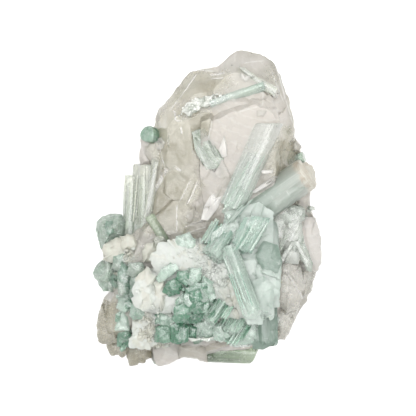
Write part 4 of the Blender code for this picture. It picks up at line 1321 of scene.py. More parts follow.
crystals("left_fan_fine", [
    crystal((-21.2, -7.4, 11.8), (-20.6, 9.6, 12.0), 6.6, end="flat", ribs=18, depth=0.03, tone=0.45),
    crystal((-18.6, -8.6, 13.0), (-17.2, 12.6, 14.0), 7.6, end="flat", lobe=0.02, roll=12, ribs=20, depth=0.035, tone=0.4),
    crystal((-17.6, -6.6, 15.0), (-13.6, 14.8, 14.8), 4.2, end="point", ribs=12, depth=0.04, tone=0.9),
], "grey_tourmaline", ["left_fan"], grey, extra=[
    slab([(-22.8, -3.2), (-22.3, 7.0), (-20.6, 9.5), (-18.9, 9.2), (-19.4, -3.8)], 8.0, 14.9, dome=0.3, cell=3.0, lean=0.05, tone=0.6, vary=0.2, seed=376, axis=(0.02, 1.0)),
    bundle((-19.7, -4.9, 16.6), (-18.3, 10.4, 17.0), (3.2, 0.2, 0.0), 4, 0.55, (0.7, 1.2), 374, 0.1),
    bundle((-22.3, -2.7, 14.4), (-21.4, 7.0, 14.4), (1.6, 0.1, 0.0), 2, 0.5, (0.8, 1.1), 375, 0.1),
])
crystals("emerald_head_fine", [
    crystal((-11.6, 19.4, 7.4), (-17.0, 21.2, 16.0), 4.8, end="flat", ribs=16, depth=0.02, tone=0.12, sides=6),
], "green_tourmaline", ["emerald_head"], green)
crystals("upper_stub_fine", [
    crystal((-25.6, -13.4, 8.0), (-27.4, -2.2, 15.0), 7.6, end="broken", ribs=30, depth=0.035, tone=0.5),
], "green_tourmaline", ["upper_stub"], stub_green, extra=[
    slab([(-31.3, -6.1), (-31.3, -3.8), (-29.6, -2.1), (-27.4, -1.5), (-24.2, -1.5), (-22.5, -3.8), (-23.1, -7.8), (-25.7, -6.9), (-28.5, -8.3), (-29.9, -11.7)], 8.0, 15.8, (0.05, 0.0), dome=2.2, cell=3.0, lean=0.06, tone=0.9, vary=0.15, seed=361, axis=(0.3, 1.0)),
    slab([(-28.5, -3.5), (-26.5, -3.5), (-26.2, -6.9), (-27.7, -7.8), (-28.8, -6.1)], 9.0, 16.9, cell=2.0, lean=0.2, tone=-0.1, vary=0.1, seed=362, axis=(0.3, 1.0)),
    bundle((-29.1, -12.0, 13.2), (-30.8, -5.5, 14.8), (1.8, -0.4, 0.2), 4, 0.5, (1.2, 1.4), 365, 0.1),
])
crystals("lower_stub_fine", [
    crystal((-21.6, -22.4, 8.0), (-29.9, -17.0, 15.2), 7.2, end="flat", ribs=24, depth=0.02, tone=0.4, sides=6),
], "green_tourmaline", ["lower_stub"], stub_green, extra=[
    slab([(-32.2, -18.3), (-31.1, -16.0), (-29.4, -14.9), (-26.2, -15.1), (-24.5, -17.4), (-24.2, -21.4), (-26.8, -23.7), (-29.4, -23.4)], 8.0, 16.4, (0.06, 0.0), dome=1.6, cell=3.6, lean=0.06, tone=0.7, vary=0.2, seed=363),
    slab([(-27.7, -20.2), (-26.5, -18.5), (-24.8, -19.1), (-24.0, -22.0), (-25.9, -23.1)], 9.0, 17.4, cell=2.0, lean=0.2, tone=-0.2, vary=0.1, seed=364),
])
crystals("right_spray_fine", [
    crystal((20.4, -16.4, 15.6), (25.4, -6.4, 19.0), 4.4, end="slant", ribs=22, depth=0.03, tone=0.9),
    crystal((22.8, -7.8, 15.0), (24.6, 0.8, 19.6), 4.6, end="broken", ribs=22, depth=0.03, tone=0.9),
], "pale_tourmaline", ["right_spray"], glassy, extra=[
    slab([(16.9, -11.7), (16.9, -4.4), (19.7, -0.7), (23.7, -1.0), (22.5, -8.9), (20.3, -15.7), (18.0, -16.3)], 12.0, 20.8, (-0.04, 0.0), tone=0.5, vary=0.4, cell=2.6, lean=0.09, seed=351, axis=(0.6, 1.0)),
    slab([(20.0, -15.1), (20.8, -13.2), (24.0, -9.2), (24.8, -9.8), (21.4, -15.1)], 14.0, 21.8, dome=0.3, cell=5.0, lean=0.04, tone=0.8, vary=0.05, seed=353, axis=(0.5, 1.0)),
    slab([(24.8, -9.8), (25.7, -8.9), (29.1, -15.1), (28.2, -16.8), (27.1, -15.1)], 13.0, 21.4, dome=0.3, cell=5.0, lean=0.04, tone=0.8, vary=0.1, seed=354, axis=(-0.5, 1.0)),
    slab([(22.0, -15.1), (21.4, -8.3), (22.5, -3.2), (26.5, -2.7), (27.4, -8.9), (25.9, -15.7)], 12.0, 21.0, tone=0.6, vary=0.4, cell=2.4, lean=0.09, seed=352, axis=(0.5, 1.0)),
    slab([(19.7, -3.2), (20.8, 0.2), (24.2, 1.0), (27.7, 0.2), (27.7, -3.2), (24.2, -4.9)], 14.0, 20.6, tone=0.5, vary=0.3, cell=2.4, lean=0.06, seed=356),
    slab([(26.2, -10.6), (27.4, -9.5), (29.9, -15.1), (29.6, -18.0), (28.2, -17.4)], 12.0, 20.6, dome=0.3, cell=2.0, lean=0.06, tone=0.1, vary=0.2, seed=355, axis=(-0.5, 1.0)),
    bundle((18.6, -13.4, 21.0), (22.5, -6.6, 21.8), (3.0, 1.8, 0.2), 6, 0.6, (0.4, 1.0), 22),
    bundle((28.2, -15.7, 20.2), (25.1, -8.9, 21.2), (2.6, -1.2, 0.2), 5, 0.6, (0.4, 1.0), 23),
    *thicket([
        ((23.7, -1.0, 21.0), (3.4, 1.8, 0.8), 10, (0.7, 1.4), 2.4, (0.2, 0.6, 0.9), (0.8, 1.3)),
        ((28.5, -1.2, 17.0), (1.6, 1.6, 1.0), 8, (0.9, 1.8), 2.6, (0.5, 0.4, 0.7), (0.0, 0.4)),
        ((28.5, -21.4, 13.0), (1.0, 3.4, 1.0), 22, (0.6, 1.3), 2.2, (0.3, -0.2, 0.6), (0.1, 0.6)),
    ], 24),
])
crystals("right_edge_prism_fine", [
    crystal((21.6, 13.0, 11.0), (27.8, 14.8, 13.0), 3.2, end="flat", ribs=12, depth=0.02, tone=0.5, sides=6),
], "green_tourmaline", ["right_edge_prism"], stub_green)
crystals("olive_stick_fine", [
    crystal((-11.6, -9.4, 20.8), (-16.2, -2.0, 19.8), 2.9, end="flat", ribs=10, depth=0.04, tone=0.6, sides=6),
], "green_tourmaline", ["olive_stick"], olive)
crystals("clear_stub_fine", [
    crystal((-11.6, -13.6, 20.0), (-13.4, -8.4, 23.6), 3.4, end="flat", ribs=12, depth=0.08, tone=0.6),
], "grey_tourmaline", ["clear_stub"], grey)
crystals("upper_green_cluster_fine", [
    crystal((-12.4, -19.8, 22.0), (-9.0, -16.0, 26.8), 3.4, end="slant", ribs=12, tone=1.0, sides=6),
    crystal((-6.6, -22.8, 21.0), (-3.6, -17.4, 27.0), 3.8, end="slant", ribs=14, tone=0.6, sides=6),
    crystal((-3.4, -27.6, 20.0), (-3.3, -23.4, 27.8), 4.6, end="slant", ribs=14, tone=0.35, sides=5),
], "green_tourmaline", ["upper_green_cluster"], green, extra=[
    slab([(-14.0, -19.4), (-12.3, -16.3), (-8.6, -15.1), (-7.5, -16.8), (-11.5, -20.0), (-13.2, -20.5)], 22.0, 28.4, (0.1, 0.1), tone=1.0, vary=0.08, cell=5.0, lean=0.05, seed=301, axis=(1.0, 0.6)),
    slab([(-12.3, -23.1), (-10.9, -20.2), (-8.6, -19.4), (-6.7, -20.8), (-7.5, -23.7), (-10.4, -24.5)], 22.0, 28.2, (-0.1, 0.1), tone=0.25, vary=0.1, cell=3.0, lean=0.1, seed=302),
    slab([(-8.6, -19.4), (-8.1, -17.4), (-5.2, -17.1), (-4.4, -19.4), (-5.5, -22.0), (-6.7, -20.8)], 22.0, 28.6, (0.1, 0.0), tone=0.1, vary=0.1, cell=3.0, lean=0.1, seed=308),
    slab([(-5.8, -20.8), (-4.4, -16.6), (-1.3, -16.3), (-1.6, -19.7), (-3.5, -22.0)], 22.0, 28.8, (0.12, -0.08), tone=0.6, vary=0.08, cell=5.0, lean=0.05, seed=303),
    slab([(-6.4, -25.9), (-5.8, -22.2), (-3.0, -20.5), (-0.1, -20.5), (1.0, -24.2), (0.4, -28.8), (-3.5, -29.3)], 22.0, 29.2, tone=0.4, vary=0.2, cell=2.4, lean=0.12, seed=304),
    slab([(-5.0, -26.5), (-4.7, -23.1), (-1.8, -22.0), (-1.0, -24.8), (-2.4, -27.1)], 22.0, 29.5, (0.0, 0.1), tone=0.0, vary=0.08, cell=4.0, lean=0.05, seed=309),
    slab([(-9.5, -30.5), (-8.9, -27.3), (-6.4, -26.2), (-4.1, -27.3), (-4.1, -29.6), (-6.1, -31.6), (-8.6, -31.9)], 22.0, 29.0, (-0.05, 0.08), tone=0.3, vary=0.08, cell=5.0, lean=0.05, seed=305),
    slab([(-8.6, -25.4), (-6.4, -23.1), (-4.7, -24.8), (-6.4, -26.8), (-8.6, -27.1)], 22.0, 27.8, tone=0.9, vary=0.15, cell=2.0, seed=306),
    slab([(-1.8, -22.0), (-1.0, -18.5), (1.6, -20.2), (2.7, -24.8), (0.7, -25.9)], 22.0, 28.2, tone=0.75, vary=0.2, cell=2.0, seed=310),
    slab([(-9.2, -11.7), (-8.6, -7.8), (-4.7, -6.6), (-3.0, -8.9), (-3.0, -11.7), (-6.4, -12.3)], 20.0, 26.0, (0.05, 0.05), tone=1.25, vary=0.08, cell=4.0, lean=0.05, seed=307),
    *thicket([
        ((-8.4, -20.5, 28.6), (2.6, 2.2, 0.8), 8, (0.8, 1.6), 2.2, (0.7, 0.6, 0.8), (0.1, 0.5)),
        ((-3.0, -24.8, 29.6), (3.0, 3.4, 0.8), 14, (0.7, 1.4), 2.4, (0.1, 0.3, 1.0), (-0.1, 0.45)),
        ((-0.1, -22.5, 28.2), (2.0, 3.0, 0.8), 10, (0.7, 1.5), 2.4, (0.3, 0.4, 0.9), (0.5, 1.0)),
        ((-6.4, -25.4, 28.0), (1.8, 1.8, 0.8), 10, (0.6, 1.3), 2.4, (0.0, 0.4, 0.9), (0.6, 1.2)),
    ], 31),
])
crystals("lower_green_cluster_fine", [
    crystal((-10.9, -39.4, 10.5), (-11.6, -32.4, 20.0), 4.8, end="broken", ribs=16, tone=0.15),
    crystal((-6.5, -38.8, 10.5), (-6.4, -33.0, 20.0), 4.8, end="broken", ribs=16, tone=0.1),
    crystal((-2.6, -38.0, 12.0), (-2.4, -34.2, 20.6), 4.2, end="flat", ribs=16, tone=0.45),
], "green_tourmaline", ["lower_green_cluster"], green, extra=[
    slab([(-14.6, -37.3), (-14.3, -33.3), (-12.1, -32.2), (-9.8, -32.7), (-9.8, -37.3), (-12.1, -37.8)], 16.0, 22.6, (-0.08, 0.05), tone=0.25, vary=0.12, cell=3.0, lean=0.1, seed=311, axis=(0.1, 1.0)),
    slab([(-9.8, -37.5), (-10.1, -32.7), (-7.5, -31.6), (-4.7, -32.7), (-5.2, -37.3), (-8.1, -38.1)], 16.0, 23.2, (0.0, 0.08), tone=0.05, vary=0.1, cell=3.0, lean=0.1, seed=316, axis=(0.0, 1.0)),
    slab([(-5.2, -36.7), (-5.0, -32.2), (-2.7, -33.0), (-3.0, -36.1)], 16.0, 22.8, (0.1, 0.0), tone=0.0, vary=0.1, cell=3.0, lean=0.1, seed=317),
    slab([(-6.4, -31.9), (-4.7, -29.0), (-0.7, -27.9), (-0.7, -30.5), (-3.0, -32.2)], 18.0, 26.0, (0.0, 0.15), tone=-0.05, vary=0.08, cell=3.0, lean=0.08, seed=312),
    slab([(-14.3, -32.2), (-13.8, -29.3), (-9.8, -28.8), (-8.1, -31.0), (-10.4, -33.0)], 17.0, 23.6, tone=0.65, vary=0.35, cell=1.6, lean=0.2, seed=313),
    slab([(-4.1, -36.7), (-3.5, -32.2), (-0.1, -30.5), (2.1, -31.6), (2.1, -36.1), (-0.7, -37.0)], 16.0, 22.8, (-0.05, 0.1), tone=1.3, vary=0.2, cell=2.6, lean=0.1, seed=314),
    slab([(1.8, -36.7), (1.8, -32.2), (5.0, -31.6), (6.7, -35.6), (4.4, -37.0)], 16.0, 23.2, (0.1, 0.0), tone=1.0, vary=0.2, cell=2.2, lean=0.14, seed=318),
    slab([(5.0, -37.3), (5.5, -32.2), (10.6, -31.0), (14.0, -32.2), (14.0, -37.8), (8.4, -38.4)], 14.0, 22.0, tone=0.85, vary=0.3, cell=2.0, seed=315),
    *thicket([
        ((-9.5, -35.0, 22.8), (4.4, 2.0, 0.8), 16, (0.8, 1.7), 2.6, (0.0, 0.5, 0.9), (-0.1, 0.4)),
        ((-3.0, -29.9, 26.0), (2.6, 1.2, 0.8), 8, (0.8, 1.6), 2.6, (0.1, 0.5, 0.9), (-0.1, 0.25)),
        ((-11.5, -30.5, 23.4), (2.8, 2.0, 0.8), 16, (0.6, 1.3), 2.4, (-0.2, 0.4, 0.9), (0.1, 1.0)),
        ((1.0, -33.9, 23.2), (3.6, 2.4, 0.8), 14, (0.7, 1.6), 2.4, (0.2, 0.4, 0.9), (0.3, 1.0)),
        ((3.3, -35.0, 22.8), (2.6, 1.6, 0.8), 8, (0.7, 1.4), 2.4, (0.2, 0.2, 0.9), (-0.1, 0.3)),
        ((-14.3, -42.7, 10.0), (1.6, 1.0, 1.0), 7, (1.0, 1.8), 3.0, (0.0, -0.2, 0.8), (0.2, 0.6)),
        ((-4.7, -37.8, 16.0), (3.0, 1.0, 1.0), 9, (0.9, 1.8), 2.6, (0.1, -0.2, 0.9), (0.4, 0.9)),
    ], 32),
])
crystals("needle_bundle_fine", [
    crystal((6.4, -24.6, 22.0), (0.0, -31.8, 25.6), 4.4, end="broken", ribs=16, depth=0.05, tone=0.5),
    crystal((10.2, -28.4, 20.0), (5.6, -34.8, 24.4), 3.8, end="broken", ribs=14, depth=0.08, tone=0.5),
], "green_tourmaline", ["needle_bundle"], green, extra=[
    bundle((4.4, -24.8, 24.5), (-0.1, -30.5, 27.0), (4.6, -3.4, 0.6), 11, 0.9, (0.1, 0.9), 41),
    bundle((9.5, -27.6, 22.5), (5.5, -34.4, 25.0), (5.2, -2.6, 0.6), 12, 0.8, (0.3, 0.9), 42),
    bundle((5.5, -25.9, 25.5), (2.7, -30.5, 26.6), (4.0, -2.6, 0.4), 8, 0.7, (0.3, 1.0), 43),
    bundle((11.2, -32.2, 22.0), (7.2, -38.4, 22.8), (4.4, 0.6, 0.2), 8, 0.7, (0.3, 1.0), 44),
])
crystals("pale_bar_fine", [
    crystal((9.0, -36.0, 17.0), (-1.6, -34.8, 19.4), 4.4, end="broken", ribs=20, depth=0.04, tone=0.3, sides=6),
], "pale_tourmaline", ["pale_bar"], pale, extra=[
    *thicket([
        ((4.4, -35.0, 20.6), (5.0, 2.2, 1.0), 24, (1.0, 2.2), 3.0, (0.3, 0.1, 0.9), (0.0, 0.7)),
        ((11.2, -35.6, 19.4), (3.4, 2.6, 1.0), 18, (0.9, 2.0), 3.0, (0.3, 0.1, 0.9), (0.2, 0.9)),
    ], 51),
])
crystals("left_green_cluster_fine", [
    crystal((-22.0, -38.6, 9.0), (-23.4, -34.0, 15.6), 3.4, end="flat", ribs=14, tone=0.2, sides=6),
    crystal((-23.1, -36.2, 11.0), (-24.0, -26.4, 15.8), 2.8, end="flat", ribs=12, tone=0.9, sides=6),
], "green_tourmaline", ["left_green_cluster"], green, extra=[
    slab([(-25.4, -39.0), (-25.1, -34.4), (-22.3, -33.9), (-20.6, -36.7), (-21.7, -39.5)], 8.0, 16.6, (-0.1, 0.05), tone=0.3, vary=0.15, cell=2.6, seed=321),
    slab([(-25.9, -34.4), (-25.7, -29.9), (-23.4, -28.2), (-21.7, -30.5), (-21.7, -34.4)], 9.0, 17.6, (-0.08, 0.0), tone=0.75, vary=0.15, cell=2.8, seed=322),
    slab([(-21.7, -29.9), (-21.1, -26.8), (-18.3, -26.2), (-16.3, -28.2), (-17.2, -31.0), (-20.6, -31.3)], 14.0, 21.8, (0.0, 0.1), tone=0.75, vary=0.08, cell=5.0, lean=0.05, seed=323),
    slab([(-25.4, -28.2), (-24.5, -24.2), (-20.8, -24.2), (-20.0, -27.6), (-22.8, -29.3)], 11.0, 19.4, tone=0.8, vary=0.25, cell=2.2, seed=324),
    *thicket([
        ((-23.1, -36.7, 16.8), (2.2, 2.6, 0.8), 10, (0.8, 1.6), 2.4, (-0.2, 0.3, 0.9), (0.0, 0.6)),
        ((-22.3, -26.5, 19.4), (2.6, 3.0, 0.8), 12, (0.8, 1.6), 2.4, (-0.2, 0.3, 0.9), (0.5, 1.1)),
    ], 61),
])
crystals("left_grey_cluster_fine", [
    crystal((-21.6, -26.4, 13.0), (-23.0, -16.6, 18.2), 4.2, end="slant", ribs=12, tone=0.6, sides=5),
], "grey_tourmaline", ["left_grey_cluster"], stub_green, extra=[
    slab([(-24.8, -24.8), (-25.1, -18.0), (-23.4, -15.1), (-21.1, -18.0), (-21.7, -25.4)], 12.0, 20.6, (-0.1, 0.0), tone=0.6, vary=0.2, cell=2.6, lean=0.1, seed=331),
    slab([(-21.7, -25.4), (-21.4, -19.1), (-18.9, -18.5), (-18.3, -21.4), (-20.0, -25.1)], 12.0, 21.4, (0.08, 0.05), tone=0.45, vary=0.25, cell=2.4, lean=0.12, seed=333),
    slab([(-26.8, -16.8), (-26.2, -13.4), (-22.8, -12.3), (-19.4, -13.4), (-19.4, -16.8), (-23.4, -18.5)], 9.0, 18.4, tone=0.7, vary=0.25, cell=2.2, seed=334),
    slab([(-22.5, -18.5), (-21.7, -15.1), (-17.7, -15.1), (-17.2, -18.0), (-19.4, -19.7)], 14.0, 22.6, (0.0, 0.1), tone=0.6, vary=0.1, cell=4.0, lean=0.06, seed=332),
    *thicket([
        ((-22.0, -21.4, 21.2), (2.8, 4.4, 0.8), 16, (0.8, 1.7), 2.4, (-0.2, 0.5, 0.8), (0.3, 0.9)),
        ((-21.7, -23.7, 21.0), (1.6, 1.8, 0.8), 6, (0.8, 1.6), 2.4, (0.1, 0.3, 0.9), (-0.1, 0.3)),
    ], 71),
])
crystals("enclosed_prism_fine", [
    crystal((3.6, 9.4, 21.4), (-1.8, 20.4, 18.8), 4.2, end="broken", ribs=20, tone=0.2, sides=6),
], "green_tourmaline", ["enclosed_prism"], grey, extra=[
    slab([(-4.1, 21.4), (-0.4, 22.9), (2.1, 18.3), (5.0, 13.8), (3.0, 11.2), (-0.1, 10.9), (-3.0, 15.8)], 18.0, 23.5, (0.06, -0.12), dome=0.2, cell=2.4, lean=0.04, tone=-0.1, vary=0.25, seed=381, axis=(-0.5, 1.0)),
    slab([(-1.8, 19.2), (-0.4, 20.6), (1.3, 17.8), (0.1, 16.1)], 18.0, 23.6, (0.06, -0.12), dome=0.2, cell=3.0, lean=0.04, tone=0.1, vary=0.15, seed=382, axis=(-0.5, 1.0)),
    bundle((2.1, 12.6, 23.8), (-2.4, 20.0, 22.7), (4.0, -1.6, 0.0), 9, 0.8, (-0.1, 0.5), 81),
    bundle((3.8, 13.8, 23.8), (0.4, 20.0, 23.0), (2.6, -1.0, 0.0), 6, 0.8, (-0.2, 0.4), 82),
])
crystals("groove_prism_fine", [
    crystal((1.0, 29.2, 20.3), (17.0, 34.8, 20.1), 3.2, end="point", ribs=14, depth=0.05, tone=0.5),
], "pale_tourmaline", ["groove_prism"], groove)
crystals("groove_prism_chips", [], "pale_tourmaline", ["groove_prism"], sparkling, extra=[
    slab([(-6.7, 27.1), (-5.8, 29.4), (-1.8, 31.1), (2.7, 31.9), (3.0, 30.2), (-0.7, 28.2), (-4.7, 26.0)], 17.0, 21.6, tone=0.5, vary=0.4, cell=1.2, lean=0.25, seed=398, ragged=0.3),
    *thicket([
        ((-4.7, 28.0, 22.4), (2.0, 1.4, 0.6), 30, (0.4, 1.0), 1.4, (-0.3, 0.4, 0.8), (0.2, 1.2)),
        ((-1.3, 29.9, 22.4), (2.8, 1.0, 0.6), 44, (0.4, 1.0), 1.4, (0.3, 0.5, 0.8), (0.2, 1.2)),
        ((3.8, 31.6, 22.0), (2.6, 0.7, 0.4), 24, (0.3, 0.8), 1.2, (0.6, 0.3, 0.6), (0.5, 1.3)),
        ((-6.9, 26.8, 20.8), (2.2, 1.4, 0.6), 22, (0.4, 1.0), 1.4, (-0.4, 0.2, 0.9), (0.7, 1.4)),
    ], 91),
])
crystals("crossing_prism_fine", [
    crystal((9.4, 38.6, 18.2), (19.6, 33.0, 19.4), 2.6, end="slant", ribs=14, tone=0.9),
], "green_tourmaline", ["crossing_prism"], grey, extra=[
    slab([(8.9, 39.9), (10.6, 39.6), (15.7, 35.9), (20.0, 33.6), (19.1, 31.6), (15.7, 33.4), (12.3, 35.9)], 17.0, 20.9, dome=0.3, cell=2.4, lean=0.05, tone=1.1, vary=0.2, seed=399, axis=(1.0, -0.7)),
])

# %% [markdown]
# ## Plates of quartz
# At the rim the quartz ends in flat broken plates with straight edges. Each is a slab with its own outline.

# %% Plates
PLATES = [
    # outline, foot, top, slope, size of its planes, how clear, pink, dark and light
    ([(-28.8, -38.1), (-22.8, -37.5), (-22.3, -41.2), (-24.0, -42.4), (-25.7, -41.5), (-27.1, -42.1), (-28.2, -40.4)], 3.0, 12.6, (0.0, 0.05), 3.0, 0.6, 0.0, 1.0),
    ([(-23.1, -38.1), (-16.0, -39.0), (-15.7, -42.4), (-18.9, -44.1), (-21.7, -44.9), (-22.5, -42.9)], 3.0, 12.4, (0.0, 0.1), 3.6, 0.7, 0.0, 1.2),
    ([(-15.5, -39.8), (-13.2, -37.8), (-9.2, -37.5), (-7.5, -39.5), (-6.9, -42.1), (-10.4, -44.1), (-13.2, -44.9), (-14.6, -43.5)], 4.0, 14.8, (0.05, 0.1), 7.0, 0.0, 0.8, 0.0),
    ([(-8.1, -42.4), (-7.8, -38.4), (-2.4, -37.8), (-0.1, -39.0), (0.1, -43.5), (-4.7, -42.4)], 5.0, 15.6, (0.0, 0.15), 3.6, 0.1, 0.7, 0.6),
    ([(-1.8, -40.7), (-2.4, -36.7), (9.5, -36.7), (15.7, -37.3), (15.7, -38.1), (6.7, -38.4), (0.4, -39.8)], 9.9, 15.4, (0.0, 0.25), 3.4, 0.2, 0.8, 0.7),
    ([(-30.8, -37.8), (-31.3, -32.7), (-30.5, -29.3), (-29.1, -25.9), (-25.1, -25.9), (-24.8, -32.2), (-25.1, -37.8), (-28.5, -38.7)], 3.5, 15.4, (0.1, 0.0), 3.0, 0.4, 0.0, 0.7),
        ([(24.2, 16.1), (24.0, 18.9), (25.4, 19.2), (27.1, 17.5), (26.5, 15.8)], 6.0, 16.4, (0.0, 0.0), 2.4, 0.4, 0.2, 0.0),
    ([(-18.9, 13.8), (-18.9, 16.6), (-18.6, 20.0), (-16.6, 22.0), (-13.2, 21.2), (-12.1, 17.8), (-14.3, 14.4), (-16.0, 12.1), (-18.6, 11.8)], 6.0, 14.8, (0.1, 0.0), 2.6, 0.0, 0.9, 0.0),
    ([(-22.3, -15.1), (-21.7, -7.2), (-17.7, -4.9), (-13.8, -6.6), (-13.2, -15.1)], 11.0, 18.6, (0.12, 0.0), 2.6, 0.4, 0.3, 0.0),
    ([(-20.0, 8.7), (-19.1, 12.6), (-16.0, 14.4), (-13.2, 13.2), (-13.2, 9.2), (-16.6, 7.5)], 5.0, 13.6, (0.1, 0.0), 2.6, 0.3, 0.3, 0.0),
    ([(24.8, 0.7), (25.7, 5.3), (29.4, 5.8), (29.4, 0.2), (30.5, -2.7), (26.5, -2.9)], 6.0, 15.4, (-0.1, 0.0), 2.6, 0.1, 0.4, 0.0),
    ([(25.4, -15.7), (31.9, -15.1), (31.6, -17.4), (30.5, -20.2), (29.9, -23.4), (27.7, -25.1), (25.4, -23.1)], 6.0, 14.4, (-0.1, 0.0), 2.6, 0.5, 0.0, 0.0, 0.3),
    ([(18.6, -24.8), (19.7, -16.3), (23.7, -11.7), (26.2, -15.1), (27.7, -21.4), (26.5, -27.6), (22.5, -29.9)], 12.0, 20.2, (-0.06, 0.04), 4.4, 0.5, 0.0, 0.0, 0.4),
    ([(19.7, -36.7), (19.1, -29.3), (23.1, -27.6), (26.5, -27.1), (24.2, -33.3), (22.0, -37.5)], 8.0, 18.0, (-0.12, 0.06), 3.8, 0.5, 0.0, 0.0, 0.3),
    ([(25.9, -15.1), (26.2, -6.6), (27.4, -2.4), (30.8, -2.7), (32.5, -8.9), (32.8, -15.1), (31.1, -17.7), (28.2, -17.7)], 8.0, 17.6, (-0.12, 0.0), 2.0, 0.0, 1.2, 0.0, 0.35),
]
plate_parts, plate_numbers = [], [[], [], [], []]
for order, (outline, low, high, slope, cell, *shares) in enumerate(PLATES):
    part, _, _, _ = slab(outline, low, high, slope, dome=1.2, cell=cell, lean=0.07, ragged=0.25, seed=500 + order)
    plate_parts.append(part)
    for numbers, share in zip(plate_numbers, (*shares, 0.0)):
        numbers.append(np.full(len(part[0]), share))
labels = ("clear", "pink", "dark", "light")
plates = place(
    "quartz_matrix_plates", plate_parts, [(label, "FLOAT", each) for label, each in zip(labels, plate_numbers)], sharp=20.0
)
settle(plates, ["quartz_matrix"], quartz_material)

# %% [markdown]
# ## The albite crust
# Albite here is a sugary crust of small blocky crystals on rounded lumps. Each lump is an uneven ball whose
# surface is shared out in tilted planes, and small blocks stand out of it at chance angles.

# %% Lumps and blocks
# each lump: middle, half sizes, how rough (0 smooth to 1), tone (0 beige to 1 white)
ALBITE = {
    "albite_crust": ([
        ((-14.9, -23.1, 22.5), (5.3, 6.7, 4.8), 0.25, 0.75),
        ((-17.0, -34.6, 17.0), (4.2, 4.6, 4.6), 1.0, 0.25),
        ((-16.4, -29.6, 18.0), (3.8, 3.8, 4.0), 0.5, 0.4),
        ((-9.0, -15.2, 21.6), (5.6, 4.8, 4.4), 0.5, 0.7),
        ((-2.0, -13.2, 22.4), (6.2, 4.8, 4.6), 0.8, 0.95),
        ((3.0, -18.5, 23.0), (6.6, 5.2, 4.8), 0.7, 0.8),
        ((8.5, -21.5, 22.0), (5.2, 5.2, 4.6), 0.5, 0.6),
        ((-5.0, -21.0, 21.0), (7.2, 7.2, 5.0), 0.8, 0.8),
        ((0.0, -27.0, 19.6), (8.4, 6.2, 5.0), 0.8, 0.7),
        ((-9.0, -29.0, 19.0), (7.4, 6.0, 5.0), 0.8, 0.95),
        ((11.4, -27.0, 20.0), (3.8, 4.6, 4.4), 0.5, 0.9),
        ((13.0, -15.8, 21.6), (2.8, 3.8, 3.6), 0.4, 0.95),
        ((4.0, -32.6, 17.0), (7.0, 4.8, 4.6), 0.8, 0.3),
        ((-12.6, -34.6, 15.6), (6.0, 4.6, 4.4), 0.8, 0.3),
    ], 1500),
    "left_albite": ([
        ((-24.6, -12.4, 13.0), (4.8, 4.4, 4.6), 0.6, 0.25),
        ((-20.6, -13.4, 15.6), (4.4, 4.0, 4.4), 0.6, 0.4),
        ((-15.8, -12.6, 18.0), (3.6, 3.4, 3.6), 0.5, 0.4),
        ((-24.4, -20.4, 13.0), (3.6, 4.8, 4.0), 0.6, 0.1),
    ], 300),
}


def albite_finish():
    """White to beige, sugary, a little see-through."""
    white = Finish("white_albite", ior=1.53, transmission_weight=0.5)
    soft = white.noise(white.where, 200.0, 6.0, 0.68, 0.5)
    fine = white.noise(white.where, 1500.0, 4.0, 0.65)
    streak = white.noise(white.stretched(white.where, (1.0, 0.16, 0.4)), 900.0, 4.0, 0.65)
    tone = white.number("tone")
    body = white.blend((soft - 0.5 + tone).over(0.1, 0.85), rgb(*CREAM), rgb(*SNOW))
    body = white.blend(streak.over(0.46, 0.62) * 0.3, body, rgb(*SHADE))
    white.colour(white.blend(fine.over(0.54, 0.68) * 0.4, body, rgb(*SHADE)))
    white.roughness(0.2 + soft * 0.4)
    grain = white.facets(white.where, 800.0) * 0.6 + white.facets(white.where, 2200.0) * 0.6
    white.bump(grain + fine * 0.06 + streak * 0.12, MM, 0.32)
    white.tinted_inside(rgb(0.92, 0.93, 0.88), 10.0)
    return white.material


CREAM = (0.60, 0.59, 0.51)
SNOW = (0.66, 0.685, 0.645)
SHADE = (0.638, 0.693, 0.605)


def grains_on(lumps, count, seed, low=0.6, high=2.0):
    """Small blocks that stand on the upper side of the lumps."""
    draw = np.random.default_rng(seed)
    centres = np.array([lump[0] for lump in lumps])
    radii = np.array([lump[1] for lump in lumps])
    tone = np.array([lump[3] for lump in lumps])
    weight = radii.prod(1) ** (2.0 / 3.0) * np.array([0.15 + lump[2] for lump in lumps])
    pick = draw.choice(len(lumps), count, p=weight / weight.sum())
    way = draw.normal(size=(count, 3))
    way[:, 2] = np.abs(way[:, 2]) * 0.9 - 0.15
    way /= np.linalg.norm(way, axis=1)[:, None]
    size = low + (high - low) * draw.random(count) ** 2.0
    base = centres[pick] + way * radii[pick] * 0.8
    lean = way + draw.normal(scale=0.6, size=(count, 3))
    lean /= np.linalg.norm(lean, axis=1)[:, None]
    reach = size * draw.uniform(0.5, 0.9, count)
    tips = centres[pick] + way * radii[pick] * 0.95 + lean * reach[:, None] * 0.5
    part, _, _, each = blocky(base, tips, size, seed, sides=4, flatness=(0.4, 0.9), slant=0.3)
    return part, np.repeat(np.clip(tone[pick] + draw.normal(scale=0.2, size=count), 0.0, 1.2), each)


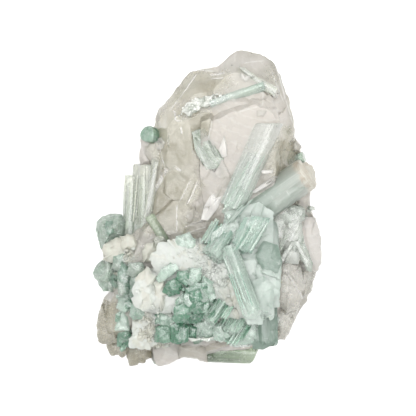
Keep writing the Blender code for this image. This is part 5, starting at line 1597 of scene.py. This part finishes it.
# The white crust between the crystals is one broken sheet; each slab: outline, foot, top, tone.
SHEETS = {
    "albite_crust": [
        ([(-16.0, -15.1), (-13.2, -9.8), (-8.1, -8.3), (-0.1, -10.0), (5.0, -13.4), (8.4, -17.4), (9.5, -23.1), (4.4, -25.9), (-4.7, -23.1), (-12.1, -20.8)], 20.0, 26.2, 0.7),
        ([(-13.2, -28.8), (-12.1, -22.5), (-6.4, -23.1), (-4.7, -27.1), (-8.6, -29.3)], 20.0, 26.6, 1.0),
        ([(-1.8, -28.8), (-0.7, -21.4), (5.5, -22.0), (10.6, -25.9), (12.3, -31.0), (5.5, -31.0)], 19.0, 24.8, 0.6),
        ([(-21.7, -39.0), (-21.1, -31.6), (-15.5, -29.3), (-13.2, -32.2), (-13.8, -38.4), (-17.7, -40.1)], 13.0, 20.6, 0.7),
        ([(4.4, -15.7), (8.9, -15.1), (11.5, -25.9), (10.6, -30.5), (6.7, -26.5)], 19.0, 26.6, 0.5),
        ([(11.2, -19.1), (11.8, -13.4), (14.9, -13.4), (15.2, -19.7)], 20.0, 25.8, 1.0),
        ([(10.9, -30.5), (11.5, -25.4), (14.3, -25.1), (14.3, -29.9)], 20.0, 25.0, 1.0),
        ([(-14.3, -16.3), (-13.8, -13.4), (-8.6, -13.2), (-8.1, -15.7)], 20.0, 25.4, 0.5),
        ([(-5.2, -36.6), (-1.8, -36.2), (2.1, -36.1), (2.1, -36.5), (-1.8, -36.6), (-5.2, -37.0)], 16.0, 23.6, 0.8),
        ([(-20.6, -25.9), (-19.7, -19.1), (-16.6, -16.3), (-14.3, -18.0), (-14.3, -27.1), (-17.7, -28.8)], 18.0, 27.2, 0.5),
        ([(-15.2, -27.6), (-14.9, -20.2), (-12.1, -19.7), (-10.9, -23.7), (-12.1, -28.2)], 18.0, 27.2, 0.3),
    ],
    "left_albite": [
        ([(-29.1, -15.1), (-29.1, -10.6), (-26.2, -8.3), (-21.7, -8.3), (-20.0, -11.7), (-21.1, -15.1)], 9.0, 18.0, -0.1),
        ([(-23.4, -11.7), (-24.0, -7.8), (-20.6, -7.2), (-18.9, -10.0), (-20.0, -12.3)], 11.0, 19.2, 0.0),
        ([(-18.3, -15.1), (-17.7, -10.6), (-14.9, -9.5), (-12.6, -11.7), (-13.2, -15.1)], 14.0, 21.6, 0.2),
    ],
}

white = albite_finish()
for number, (node, (lumps, count)) in enumerate(ALBITE.items()):
    parts = [lump_surface(*one[:3], seed=7 * order + 1) for order, one in enumerate(lumps)]
    tones = [np.full(len(part[0]), lump[3]) for part, lump in zip(parts, lumps)]
    grains, grain_tones = grains_on(lumps, count, 60 + number)
    for order, (outline, low, high, tone) in enumerate(SHEETS[node]):
        sheet, _, _, sheet_tones = slab(outline, low, high, dome=1.2, cell=1.8, lean=0.10, tone=tone, vary=0.2, seed=400 + order, ragged=0.5)
        parts.append(sheet)
        tones.append(sheet_tones)
    parts.append(grains)
    tones.append(grain_tones)
    crust = place(node + "_sugar", parts, [("tone", "FLOAT", tones)], sharp=22.0)
    settle(crust, [node], white)

# %% [markdown]
# ## Size and finish
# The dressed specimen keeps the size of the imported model. Both boxes are written down to compare.

# %% Boxes
low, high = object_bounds()
print("frame", [round(v / MM, 2) for v in (*cad_low, *cad_high)])
print("dressed", [round(v / MM, 2) for v in (*low, *high)])
